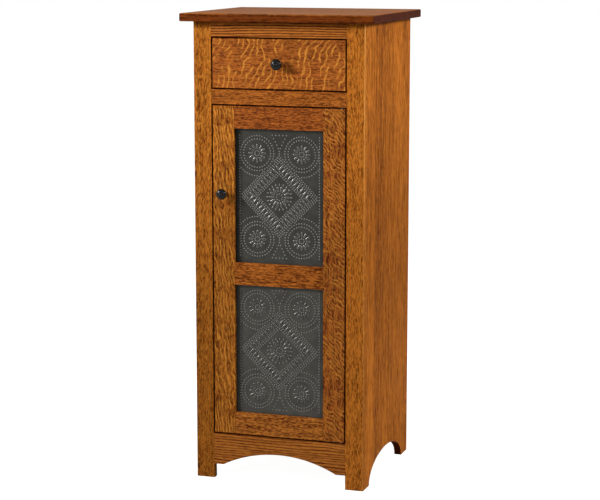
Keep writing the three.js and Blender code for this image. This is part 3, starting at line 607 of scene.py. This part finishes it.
side_low, side_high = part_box("right_side")
side_middle, side_half = (side_low.y + side_high.y) / 2, (side_high.y - side_low.y) / 2
side_inputs = {"Vector": VECTOR, "Color": COLOUR}
shading, given, made = new_group("side_shading", side_inputs, {"Color": COLOUR})
place = parts_of(shading, given["Vector"])
depth = calc(shading, "SUBTRACT", side_high.x, calc(shading, "ABSOLUTE", place["X"]))
sawn = step_between(shading, depth, *SAWN_STEP)
off_middle = distance(shading, place["Y"], side_middle)
arch_half = side_half - ARCH_INSET
between_legs = fade_out(shading, off_middle, arch_half, arch_half + ARCH_INSET_FADE)
near_floor = fade_out(shading, place["Z"], *ARCH_FADE)
arch = calc(shading, "MULTIPLY", calc(shading, "MULTIPLY", sawn, between_legs), near_floor)
middle_shade = fade_out(shading, distance(shading, place["Z"], MIDDLE_SHADE_HEIGHT), *MIDDLE_SHADE_FADE)
strip_start = side_high.y - STRIP_WIDTH
strip = step_between(shading, place["Y"], strip_start, strip_start + STRIP_FADE)
# Painted shade at the arch and about half height; the rear strip is the side's own paler tone.
colour = shaded(shading, arch, given["Color"], ARCH_PAINTED_SHADE)
colour = shaded(shading, middle_shade, colour, MIDDLE_PAINTED_SHADE)
fill(shading, made, {"Color": shaded(shading, strip, colour, STRIP_SHADE)})
print("side in mm:", round(side_half * 2 / MM, 1), "deep")

# %% Edges of the top board and corner of the stile
# The top board's edges take painted shade, and its ends also the darker stain of end grain.
TOP_EDGE_PAINTED_SHADE, TOP_EDGE_SHADE_FADE = rgba(0.46, 0.32, 0.34), (-2.6 * MM, -1.2 * MM)
END_SHADE, END_STEP = rgba(0.42, 0.30, 0.16), (-1.6 * MM, -0.6 * MM)
ARRIS_HIGHLIGHT_TONE, ARRIS_HIGHLIGHT_FADE = rgba(0.78, 0.36, 0.09), (1.2 * MM, 2.4 * MM)
UNEVEN_SCALE, UNEVEN_STEP = (0.0, 0.0, 7.0), (0.35, 0.65, 0.6, 1.0)
HIGHLIGHT_HEIGHT_STEP = (0.60, 1.05, 0.28, 0.95)
top_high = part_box("top_board")[1]
stile_low, stile_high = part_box("frame_right_stile")


def side_shades(tree, colour):
    values = {"Vector": object_place(tree), "Color": colour}
    return put(tree, "ShaderNodeGroup", values, node_tree=shading).outputs[0]


def top_edges(tree, colour):
    place = parts_of(tree, object_place(tree))
    # Painted shade below the top face, and darker stain at the end grain.
    edge = fade_out(tree, place["Z"], *(top_high.z + reach for reach in TOP_EDGE_SHADE_FADE))
    off_middle = calc(tree, "ABSOLUTE", place["X"])
    end = step_between(tree, off_middle, *(top_high.x + reach for reach in END_STEP))
    return shaded(tree, end, shaded(tree, edge, colour, TOP_EDGE_PAINTED_SHADE), END_SHADE)


# A painted highlight along the right stile's front corner, brighter high up and uneven along it.
def painted_corner_highlight(tree, colour):
    place = object_place(tree)
    parts = parts_of(tree, place)
    from_side = calc(tree, "SUBTRACT", stile_high.x, parts["X"])
    from_front = calc(tree, "SUBTRACT", parts["Y"], stile_low.y)
    off_corner = calc(tree, "MAXIMUM", from_side, from_front)
    uneven = step_between(tree, noise(tree, place, UNEVEN_SCALE, detail=1.0), *UNEVEN_STEP)
    highlight_height = step_between(tree, parts["Z"], *HIGHLIGHT_HEIGHT_STEP)
    painted_light_and_wear = calc(tree, "MULTIPLY", uneven, highlight_height)
    painted_light_and_wear = calc(tree, "MULTIPLY", fade_out(tree, off_corner, *ARRIS_HIGHLIGHT_FADE), painted_light_and_wear)
    return mixed(tree, painted_light_and_wear, colour, ARRIS_HIGHLIGHT_TONE)


def repaint(name, paint):
    tree, shader, colour = painted_so_far(oak_finishes[name])
    fill(tree, shader, {"Base Color": paint(tree, colour)})
    print(name, "nodes:", len(tree.nodes))


repaint("top_board", top_edges)
repaint("left_side", side_shades)
repaint("right_side", side_shades)
repaint("frame_right_stile", painted_corner_highlight)

# %% [markdown]
# ## Metal and plastic
#
# A single flat grey never looks like metal. Each metal takes a fine noise that moves its
# colour, its roughness and its height a little, which reads as a cast or brushed skin.
# The knobs are black iron under wax, so they have small bright lights on near black.

# %% Mottle group
MOTTLE_DETAIL, MOTTLE_STEP = 5.0, (0.35, 0.65)
mottle_inputs = {
    "Vector": VECTOR, "Scale": FLOAT, "Colour A": COLOUR, "Colour B": COLOUR,
    "Roughness A": FLOAT, "Roughness B": FLOAT,
}
mottle, given, made = new_group("mottle", mottle_inputs, SURFACE_LOOKS)
cloud_values = {"Vector": given["Vector"], "Scale": given["Scale"], "Detail": MOTTLE_DETAIL}
cloud = put(mottle, "ShaderNodeTexNoise", cloud_values).outputs["Fac"]
amount = step_between(mottle, cloud, *MOTTLE_STEP)
span = calc(mottle, "SUBTRACT", given["Roughness B"], given["Roughness A"])
mottle_looks = {
    "Color": mixed(mottle, amount, given["Colour A"], given["Colour B"]),
    "Roughness": calc(mottle, "MULTIPLY_ADD", amount, span, given["Roughness A"]),
    "Height": cloud,
}
fill(mottle, made, mottle_looks)
print("mottle group nodes:", len(mottle.nodes))

# %% [markdown]
# A row below is one finish: the noise's scale, two colours, two roughnesses, how much
# of a metal it is, the height of its bumps in millimetres, and its specular level. The
# hinges are packed as black iron too, but theirs is a paler steel.

# %% Metals and plastic
METALS = {
    "black_iron": (400, (0.001,) * 3, (0.003,) * 3, (0.17, 0.23), 0.0, 0.01, 0.18),
    "hinge_steel": (500, (0.05, 0.046, 0.042), (0.08, 0.075, 0.07), (0.4, 0.55), 0.6, 0.02, 0.5),
    "bright_steel": (700, (0.52, 0.53, 0.54), (0.62, 0.63, 0.64), (0.25, 0.38), 1.0, 0.02, 0.5),
    "brown_plastic": (900, (0.055, 0.03, 0.018), (0.07, 0.04, 0.022), (0.45, 0.55), 0.0, 0.03, 0.5),
}
MOTTLE_BUMP = 0.4


def mottled_material(name, scale, colour_a, colour_b, roughness, metal, bump_mm, gloss):
    material, tree, shader = plain_material(name)
    values = {
        "Vector": object_place(tree),
        "Scale": scale,
        "Colour A": rgba(*colour_a),
        "Colour B": rgba(*colour_b),
        "Roughness A": roughness[0], "Roughness B": roughness[1],
    }
    skin = put(tree, "ShaderNodeGroup", values, node_tree=mottle).outputs
    bump = {"Height": skin["Height"], "Strength": MOTTLE_BUMP, "Distance": bump_mm * MM}
    looks = {
        "Base Color": skin["Color"],
        "Roughness": skin["Roughness"],
        "Normal": put(tree, "ShaderNodeBump", bump).outputs[0],
        "Metallic": metal,
        "Specular IOR Level": gloss,
    }
    fill(tree, shader, looks)
    return material


metals = {name: mottled_material(name, *row) for name, row in METALS.items()}
slot_of = {entry["node"]: entry["material_slot"] for entry in frame["record"]["subparts"]}
for name, slot in slot_of.items():
    look = "hinge_steel" if "hinge" in name else slot
    if look in metals:
        finish_node(name, metals[look])
print("metal finishes:", sorted(metals))

# %% [markdown]
# ## Dark tin
#
# Old tin is dark where it is flat and bright where the punch has raised it, partly
# because dusting rubs the raised spots clean and partly as a painted highlight, brighter
# still on the crests. How far a point stands out of the sheet says how bright it is, so
# the colour follows the geometry with two steps: one for all that is raised, and one for
# the crests alone. The panes also darken towards the boards beside them, more on the
# left: that is a painted shadow of the door's stiles, and it is part of the shared group
# too.

# %% Tin wear and painted light group
TIN_FACE_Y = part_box("upper_tin")[0].y
RUB_AND_HIGHLIGHT_STEP = (0.10 * MM, 0.70 * MM)
CREST_STEP = (1.12 * MM, 1.4 * MM)
PANE_SIDE = 120.0 * MM
LEFT_REACH = 27 * MM
RIGHT_REACH, RIGHT_SHADE = 17 * MM, 0.62
TIN_METAL, CREST_METAL = 0.22, 0.62

tin_light_and_wear_inputs = {
    "Vector": VECTOR, "Color": COLOUR, "Raised": COLOUR, "Crest": COLOUR, "Left Shade": FLOAT,
}
painted_light_and_wear, given, made = new_group("tin_wear_and_painted_light", tin_light_and_wear_inputs, {"Color": COLOUR, "Metallic": FLOAT})
place = parts_of(painted_light_and_wear, given["Vector"])
rise = calc(painted_light_and_wear, "SUBTRACT", TIN_FACE_Y, place["Y"])
# Raised spots are partly rubbed clean and partly painted highlight; crests take a brighter painted
# highlight.
crests = step_between(painted_light_and_wear, rise, *CREST_STEP)
colour = mixed(painted_light_and_wear, step_between(painted_light_and_wear, rise, *RUB_AND_HIGHLIGHT_STEP), given["Color"], given["Raised"])
colour = mixed(painted_light_and_wear, crests, colour, given["Crest"])
# Painted shadow of the door's stiles: the pane darkens towards its left side, and less towards its
# right.
left_ends = (-PANE_SIDE, LEFT_REACH - PANE_SIDE)
right_ends = (PANE_SIDE - RIGHT_REACH, PANE_SIDE)
left = step_between(painted_light_and_wear, place["X"], *left_ends, given["Left Shade"], 1.0)
right = step_between(painted_light_and_wear, place["X"], *right_ends, 1.0, RIGHT_SHADE)
level = calc(painted_light_and_wear, "MULTIPLY", left, right)
grey = put(painted_light_and_wear, "ShaderNodeCombineColor", dict.fromkeys(("Red", "Green", "Blue"), level))
metal = calc(painted_light_and_wear, "MULTIPLY_ADD", crests, CREST_METAL - TIN_METAL, TIN_METAL)
fill(painted_light_and_wear, made, {"Color": shaded(painted_light_and_wear, 1.0, colour, grey.outputs[0]), "Metallic": metal})
print("tin wear nodes:", len(painted_light_and_wear.nodes))

# %% Tin materials
TIN_SCALE, TIN_ROUGHNESS, TIN_BUMP_MM, TIN_GLOSS = 45, (0.28, 0.36), 0.1, 0.05
# The upper pane carries a brighter painted highlight on its raised spots and crests, and a deeper
# painted shadow at its left, than the lower pane.
TIN_LOOKS = {
    "upper_tin": {
        "base": ((0.042, 0.0415, 0.036), (0.054, 0.053, 0.046)),
        "raised": rgba(0.165, 0.16, 0.148),
        "crest": rgba(0.24, 0.235, 0.215),
        "left_shade": 0.36,
    },
    "lower_tin": {
        "base": ((0.051, 0.049, 0.043), (0.066, 0.063, 0.054)),
        "raised": rgba(0.13, 0.127, 0.115),
        "crest": rgba(0.155, 0.15, 0.135),
        "left_shade": 0.54,
    },
}


def tin_material(name, base, raised, crest, left_shade):
    row = (TIN_SCALE, *base, TIN_ROUGHNESS, TIN_METAL, TIN_BUMP_MM, TIN_GLOSS)
    material = mottled_material(name, *row)
    tree, shader, colour = painted_so_far(material)
    values = {
        "Vector": object_place(tree), "Color": colour, "Raised": raised, "Crest": crest,
        "Left Shade": left_shade,
    }
    worn = put(tree, "ShaderNodeGroup", values, node_tree=painted_light_and_wear).outputs
    fill(tree, shader, {"Base Color": worn["Color"], "Metallic": worn["Metallic"]})
    return material


tin_finishes = {name: tin_material("dark_" + name, **look) for name, look in TIN_LOOKS.items()}
for name, finish in tin_finishes.items():
    finish_node(name, finish)
print("tin finishes:", sorted(tin_finishes))

# %% [markdown]
# ## Pieces that stand for packed ones
#
# A piece that replaces a packed one rides on the same body and takes the same finish.
# Where it starts as a copy, the copy's loose triangles are merged and its flat areas
# become single faces again, so that a bevel finds the board's real edges.

# %% Piece helpers
MERGE_REACH = 0.005 * MM
FLAT_ANGLE = math.radians(0.5)


def kept_mesh(name, work):
    mesh = bpy.data.meshes.new(name)
    work.to_mesh(mesh)
    work.free()
    return mesh


def new_piece(name, work, body, material, smooth_angle=None):
    mesh = kept_mesh(name, work)
    mesh.materials.append(material)
    piece = in_scene(name, mesh)
    if smooth_angle is not None:
        mesh.polygons.foreach_set("use_smooth", [True] * len(mesh.polygons))
        mesh.set_sharp_from_angle(angle=math.radians(smooth_angle))
    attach(piece, body)
    return piece


def merged_copy(node_name):
    work = bmesh.new()
    work.from_mesh(nodes[node_name].data)
    bmesh.ops.remove_doubles(work, verts=work.verts, dist=MERGE_REACH)
    bmesh.ops.dissolve_limit(work, angle_limit=FLAT_ANGLE, verts=work.verts, edges=work.edges)
    return work


print("piece helpers ready")

# %% [markdown]
# ## Eased arrises
#
# No arris on a cabinet is left sharp: two strokes of a block plane take off half a
# millimetre or so. The door and the drawer's front are eased round their outlines, the
# frame along its outer corners and along the arch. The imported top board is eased
# already. Edges where two boards meet flush stay sharp, or the joint would show as a
# groove. So an edge is found by its place: it lies in the front plane of a box and in
# another of its planes too. The arch's edge lies in the front plane, under the rail.

# %% Eased boards
EASE_WIDTH = 0.7 * MM
ON_PLANE = 0.02 * MM
FRONT = (1, 0)
FACES_DOWN = -0.3


def planes_of(edge, box):
    found = set()
    for axis in range(3):
        for end in range(2):
            if all(abs(vert.co[axis] - box[end][axis]) < ON_PLANE for vert in edge.verts):
                found.add((axis, end))
    return found


def outline_edges(work, box):
    planes = {edge: planes_of(edge, box) for edge in work.edges}
    return [edge for edge, found in planes.items() if FRONT in found and len(found) >= 2]


def under_edges(work, box):
    front = [edge for edge in work.edges if FRONT in planes_of(edge, box)]
    return [edge for edge in front if any(f.normal.z < FACES_DOWN for f in edge.link_faces)]


def eased_board(node_name, body, edges_of, box):
    work = merged_copy(node_name)
    edges = [edge for edge in edges_of(work, box) if edge.is_manifold]
    bmesh.ops.bevel(
        work, geom=edges, offset=EASE_WIDTH, offset_type="OFFSET", segments=2, profile=0.5,
        affect="EDGES", clamp_overlap=True, material=-1,
    )
    open_edges = sum(not edge.is_manifold for edge in work.edges)
    finish = oak_finishes[node_name]
    piece = new_piece("eased_" + node_name, work, body, finish)
    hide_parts(node_name)
    print(piece.name, "edges eased:", len(edges), "open edges:", open_edges)


door_box = (door_low, door_high)
case_box = (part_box("frame_left_stile")[0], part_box("frame_right_stile")[1])
for name in ("door_left_stile", "door_right_stile", "door_top_rail", "door_bottom_rail"):
    eased_board(name, "door", outline_edges, door_box)
for name in ("frame_left_stile", "frame_right_stile"):
    eased_board(name, "case", outline_edges, case_box)
eased_board("drawer_face", "drawer", outline_edges, (drawer_low, drawer_high))
eased_board("frame_bottom_rail", "case", under_edges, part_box("frame_bottom_rail"))

# %% [markdown]
# ## Knobs
#
# Both knobs are turned iron: a small foot, a waist, a rounded head, and a raised button
# in the middle. A lathe is a spin, so the outline is drawn once as a chain of edges and
# spun round the knob's axis. Each point is a radius and a distance out of the board, in
# millimetres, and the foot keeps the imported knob's thin seam to the board.

# %% Knobs
KNOB_OUTLINE = [
    (0.0, 0.3), (8.0, 0.3), (8.2, 0.8), (8.1, 1.6), (7.2, 2.6), (6.2, 4.6), (5.8, 7.2),
    (6.0, 9.4), (7.4, 11.2), (10.0, 12.3), (12.4, 13.5), (13.8, 15.2), (14.2, 17.0),
    (13.8, 19.1), (12.5, 21.1), (10.5, 22.8), (8.2, 24.0), (6.2, 24.7), (5.5, 24.6),
    (5.1, 24.5), (4.8, 25.0), (4.4, 25.9), (3.4, 26.6), (1.8, 26.95), (0.0, 27.0),
]
KNOB_SEAM = 0.3 * MM
KNOB_STEPS = 40
SPIN_MERGE = 0.01 * MM
SMOOTH_ANGLE = 50
CENTRE, Y_AXIS = (0, 0, 0), (0, 1, 0)


def spin_round(work, outline, steps):
    bmesh.ops.spin(
        work, geom=outline, cent=CENTRE, axis=Y_AXIS, angle=2 * math.pi, steps=steps,
        use_merge=True,
    )
    bmesh.ops.remove_doubles(work, verts=work.verts, dist=SPIN_MERGE)
    bmesh.ops.recalc_face_normals(work, faces=work.faces)


def turned_knob(name, node_name, body):
    low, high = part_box(node_name)
    middle = (low + high) / 2
    work = bmesh.new()
    points = [work.verts.new((radius * MM, -out * MM, 0)) for radius, out in KNOB_OUTLINE]
    chain = [work.edges.new(pair) for pair in zip(points, points[1:])]
    spin_round(work, points + chain, KNOB_STEPS)
    knob_place = (middle.x, high.y + KNOB_SEAM, middle.z)
    bmesh.ops.translate(work, verts=work.verts, vec=knob_place)
    iron = metals["black_iron"]
    piece = new_piece(name, work, body, iron, smooth_angle=SMOOTH_ANGLE)
    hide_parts(node_name)
    print(name, "faces:", len(piece.data.polygons))


turned_knob("drawer_pull", "drawer_knob", "drawer")
turned_knob("door_pull", "door_knob", "door")

# %% [markdown]
# ## Punched tins
#
# A tin is a thin sheet with a pattern punched from behind. Chisel cuts leave slots with
# raised lips, and round punches leave small domes. The sheet with its slots comes from
# the frame. Each lip is a mound in the shape of a long ring round its slot, and each
# dome is a low ball half sunk in the sheet. The pattern is a common one: a rosette in
# each corner inside two dotted circles, a diamond of slots between dotted lines, and a
# rosette in its middle. Arcs of dots fill the sides, and a small arrow of dots points
# at the diamond from either end.

# %% The pattern's measures, in millimetres from the middle of a pane
PANE_HALF = (120.0, 169.75)
CORNER = (60.0, 111.0)
CORNER_CIRCLES = [(45.0, 40), (36.5, 32)]
CORNER_EYE, CENTRE_EYE = (6.5, 8), (8.5, 8)
CORNER_ARC, ARC_CLEAR, ARC_STOP = (58.5, 52), 5.0, 30.0
DIAMOND = 79.0
DIAMOND_LINES = [59.0, 66.5, 90.5, 98.0, 105.5]
LINE_GAP = 6.4
CIRCLE_CLEAR = 49.5
BORDER_INSET, BORDER_END, BORDER_GAP = 12.5, 14, 7.3
BORDER_CLEAR, END_CLEAR = 2.0, 6.0
ARROW_ROW, ARROW_ROW_GAP = (19, 158), 9.5
ARROW_SIDE, ARROW_SIDE_GAP = [(15, 149.5), (2.6, 125)], 8.0
ARROW_TIP, ARROW_TIP_GAP = [117, 111], 6.0


def circle_dots(centre, radius, count):
    turns = [2 * math.pi * i / count for i in range(count)]
    return [(centre[0] + radius * math.cos(t), centre[1] + radius * math.sin(t)) for t in turns]


def line_dots(start, end, gap, both_ends=True):
    count = max(1, round(math.dist(start, end) / gap))
    last = count + 1 if both_ends else count
    return [tuple(a + (b - a) * i / count for a, b in zip(start, end)) for i in range(last)]


corners = [(sx * CORNER[0], sz * CORNER[1]) for sx in (-1, 1) for sz in (-1, 1)]
print("corner rosettes:", corners)

# %% The pattern's dots
def in_open_field(dot):
    in_width = abs(dot[0]) < PANE_HALF[0] - BORDER_INSET - BORDER_CLEAR
    in_height = abs(dot[1]) < PANE_HALF[1] - END_CLEAR
    clear = all(math.dist(dot, corner) > CIRCLE_CLEAR for corner in corners)
    return in_width and in_height and clear


def on_arc(dot):
    past_diamond = abs(dot[0]) + abs(dot[1]) > DIAMOND_LINES[-1] + ARC_CLEAR
    return in_open_field(dot) and past_diamond and abs(dot[1]) < CORNER[1] - ARC_STOP


dots = []
for corner in corners:
    for radius, count in (*CORNER_CIRCLES, CORNER_EYE):
        dots += circle_dots(corner, radius, count)
dots += circle_dots((0, 0), *CENTRE_EYE)
for corner in corners:
    dots += [dot for dot in circle_dots(corner, *CORNER_ARC) if on_arc(dot)]
for half in DIAMOND_LINES:
    tips = [(half, 0), (0, half), (-half, 0), (0, -half)]
    for start, end in zip(tips, tips[1:] + tips[:1]):
        row = line_dots(start, end, LINE_GAP, both_ends=False)
        dots += [dot for dot in row if in_open_field(dot)]
for side in (-1, 1):
    border, border_top = side * (PANE_HALF[0] - BORDER_INSET), PANE_HALF[1] - BORDER_END
    dots += line_dots((border, -border_top), (border, border_top), BORDER_GAP)
    row_half, row_height = ARROW_ROW[0], side * ARROW_ROW[1]
    dots += line_dots((-row_half, row_height), (row_half, row_height), ARROW_ROW_GAP)
    for hand in (-1, 1):
        start, end = [(hand * across, side * up) for across, up in ARROW_SIDE]
        dots += line_dots(start, end, ARROW_SIDE_GAP)
    start, end = [(0, side * up) for up in ARROW_TIP]
    dots += line_dots(start, end, ARROW_TIP_GAP)
print("dots in the pattern:", len(dots))

# %% [markdown]
# The slots' lips need the same places as the slots in the sheet, so the counts and radii
# below are the sheet's own: twelve petals in a corner, fourteen in the middle and ten
# cuts across each side of the diamond. A place is a point, a turn and a length.

# %% Lips round the slots, and raised strokes
CORNER_PETALS, CENTRE_PETALS = (12, 12.5, 22.5), (14, 15.0, 26.0)
CUTS_PER_SIDE, CUT_LENGTH = 10, 10.0
CENTRE_STROKES = (20, 28.6, 35.8)


def spokes(centre, count, inner, outer):
    length = outer - inner
    middles = circle_dots(centre, (inner + outer) / 2, count)
    return [(*spot, 2 * math.pi * i / count, length) for i, spot in enumerate(middles)]


slots = [place for corner in corners for place in spokes(corner, *CORNER_PETALS)]
slots += spokes((0, 0), *CENTRE_PETALS)
for side in range(4):
    start, end = side * math.pi / 2, (side + 1) * math.pi / 2
    for i in range(CUTS_PER_SIDE):
        share = (i + 0.5) / CUTS_PER_SIDE
        across = DIAMOND * ((1 - share) * math.cos(start) + share * math.cos(end))
        up = DIAMOND * ((1 - share) * math.sin(start) + share * math.sin(end))
        slots.append((across, up, (start + end) / 2, CUT_LENGTH))
strokes = spokes((0, 0), *CENTRE_STROKES)
print("slots:", len(slots), "raised strokes:", len(strokes))

# %% [markdown]
# Three stamps make the whole relief: a dome, a stroke, which is a longer dome, and a
# lip. A lip starts as a section, which is spun round into a ring, and the ring's halves
# are then drawn apart to the length of the slot. A section's point is a distance from
# the slot's middle line and a depth, in millimetres, and minus is out of the sheet.

# %% Stamps: a dome, a stroke and a lip
DOT_RADIUS, DOT_RISE = 2.4, 1.1
STROKE_HALF, STROKE_RISE = (4.2, 1.8), 1.45
DOME_ROOT, DOME_SEGMENTS, DOME_RINGS = 0.15, 8, 6
CUT_REACH = 0.0001
LIP_SECTION = [(1.05, 0.15), (1.05, -1.3), (1.3, -1.55), (1.9, -1.3), (2.9, -0.1), (2.9, 0.15)]
LIP_STEPS = 12
SLOT_RADIUS = 1.0


def dome_stamp(half_across, half_up, rise):
    work = bmesh.new()
    on_side = Matrix.Rotation(math.pi / 2, 4, "X")
    bmesh.ops.create_uvsphere(
        work, u_segments=DOME_SEGMENTS, v_segments=DOME_RINGS, radius=1.0, matrix=on_side
    )
    bmesh.ops.bisect_plane(
        work, geom=work.verts[:] + work.edges[:] + work.faces[:], dist=CUT_REACH,
        plane_co=(0, DOME_ROOT, 0), plane_no=Y_AXIS, clear_outer=True,
    )
    bmesh.ops.holes_fill(work, edges=[edge for edge in work.edges if edge.is_boundary])
    size = (half_across * MM, rise * MM, half_up * MM)
    bmesh.ops.scale(work, verts=work.verts, vec=size)
    bmesh.ops.recalc_face_normals(work, faces=work.faces)
    return kept_mesh("dome", work)


def lip_stamp(length):
    work = bmesh.new()
    ring = [work.verts.new((across * MM, out * MM, 0)) for across, out in LIP_SECTION]
    sides = [work.edges.new(pair) for pair in zip(ring, ring[1:] + ring[:1])]
    half_step = Matrix.Rotation(math.pi / LIP_STEPS, 3, "Y")
    bmesh.ops.rotate(work, verts=work.verts, cent=CENTRE, matrix=half_step)
    spin_round(work, ring + sides, LIP_STEPS)
    stretch = (length / 2 - SLOT_RADIUS) * MM
    for way in (-1, 1):
        half = [vert for vert in work.verts if vert.co.x * way > 0]
        bmesh.ops.translate(work, verts=half, vec=(way * stretch, 0, 0))
    return kept_mesh("lip", work)


dome = dome_stamp(DOT_RADIUS, DOT_RADIUS, DOT_RISE)
stroke = dome_stamp(*STROKE_HALF, STROKE_RISE)
lips = {length: lip_stamp(length) for length in sorted({round(slot[3], 1) for slot in slots})}
lip_faces = {length: len(mesh.polygons) for length, mesh in lips.items()}
print("faces: dome", len(dome.polygons), "lip", lip_faces)

# %% Stamp the sheets
def stamp(work, mesh, pane, across, up, turn=0.0):
    shift = Matrix.Translation((pane.x + across * MM, pane.y, pane.z + up * MM))
    placed_mesh = mesh.copy()
    placed_mesh.transform(shift @ Matrix.Rotation(-turn, 4, "Y"))
    work.from_mesh(placed_mesh)
    bpy.data.meshes.remove(placed_mesh)


def punched_tin(name, node_name):
    low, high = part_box(node_name)
    pane = Vector(((low.x + high.x) / 2, low.y, (low.z + high.z) / 2))
    work = merged_copy(node_name)
    for across, up in dots:
        stamp(work, dome, pane, across, up)
    for across, up, turn, _ in strokes:
        stamp(work, stroke, pane, across, up, turn)
    for across, up, turn, length in slots:
        stamp(work, lips[round(length, 1)], pane, across, up, turn)
    finish = tin_finishes[node_name]
    piece = new_piece(name, work, "door", finish, smooth_angle=SMOOTH_ANGLE)
    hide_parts(node_name)
    print(name, "faces:", len(piece.data.polygons))


punched_tin("upper_punched_tin", "upper_tin")
punched_tin("lower_punched_tin", "lower_tin")

# %% [markdown]
# ## Studio
#
# The floor and the world look white to the camera, and to a mirror, but light the object
# only softly. Their white comes from the kind of ray that sees them, so that it adds no
# light. Three area lamps do the rest: a strong key from high on the left, a weak one in
# front, and one at the right for the side. So the front and the side are about equally
# bright, and both fade a little downwards.

# %% Floor and world
FLOOR_SIZE = 30
FLOOR_GREY, FLOOR_ROUGHNESS = 0.35, 0.9
WHITE_SHARE = 0.975
AMBIENT, BACKDROP = 0.20, 1.0
WHITE = rgba(1, 1, 1)


def seen_by_camera(tree):
    path = put(tree, "ShaderNodeLightPath").outputs
    mirrored = calc(tree, "MAXIMUM", path["Is Glossy Ray"], path["Is Transmission Ray"])
    return calc(tree, "MAXIMUM", path["Is Camera Ray"], mirrored)


floor_work = bmesh.new()
bmesh.ops.create_grid(floor_work, x_segments=1, y_segments=1, size=FLOOR_SIZE)
floor = in_scene("floor", kept_mesh("floor", floor_work))

floor_paint, tree, shader = plain_material("floor_paint")
fill(tree, shader, {"Base Color": rgba(FLOOR_GREY, FLOOR_GREY, FLOOR_GREY)})
fill(tree, shader, {"Roughness": FLOOR_ROUGHNESS, "Specular IOR Level": 0.0})
glow = {"Color": WHITE, "Strength": calc(tree, "MULTIPLY", seen_by_camera(tree), WHITE_SHARE)}
white = put(tree, "ShaderNodeEmission", glow)
both = put(tree, "ShaderNodeAddShader", {0: shader.outputs[0], 1: white.outputs[0]})
fill(tree, tree.nodes["Material Output"], {"Surface": both.outputs[0]})
floor.data.materials.append(floor_paint)

world = bpy.data.worlds.new("studio")
bpy.context.scene.world = world
world.use_nodes = True
tree = world.node_tree
tree.nodes.clear()
ambient = put(tree, "ShaderNodeBackground", {"Color": WHITE, "Strength": AMBIENT})
backdrop = put(tree, "ShaderNodeBackground", {"Color": WHITE, "Strength": BACKDROP})
choice = {0: seen_by_camera(tree), 1: ambient.outputs[0], 2: backdrop.outputs[0]}
sky = put(tree, "ShaderNodeMixShader", choice)
put(tree, "ShaderNodeOutputWorld", {"Surface": sky.outputs[0]})
print("stage pieces: floor; world:", world.name)

# %% Lamps
LAMPS = {
    "key_lamp": {"place": (-3.3, -2.2, 2.4), "aim": (0, 0, 0.95), "size": 1.2, "watts": 215},
    "front_lamp": {"place": (1.7, -2.7, 2.3), "aim": (0, 0, 0.85), "size": 1.4, "watts": 14},
    "side_lamp": {"place": (2.8, -0.3, 2.1), "aim": (0, 0, 0.9), "size": 0.7, "watts": 68},
}


def area_lamp(name, place, aim, size, watts):
    data = bpy.data.lights.new(name, "AREA")
    data.shape = "SQUARE"
    data.size = size
    data.energy = watts
    lamp = in_scene(name, data)
    lamp.location = place
    lamp.rotation_euler = (Vector(aim) - Vector(place)).to_track_quat("-Z", "Y").to_euler()


for name, lamp_values in LAMPS.items():
    area_lamp(name, **lamp_values)
print("lamps:", sorted(LAMPS))

# %% [markdown]
# ## Finish
#
# The view transform is Standard, so that a colour comes out as it was written.

# %% Finish
bpy.context.scene.view_settings.view_transform = "Standard"
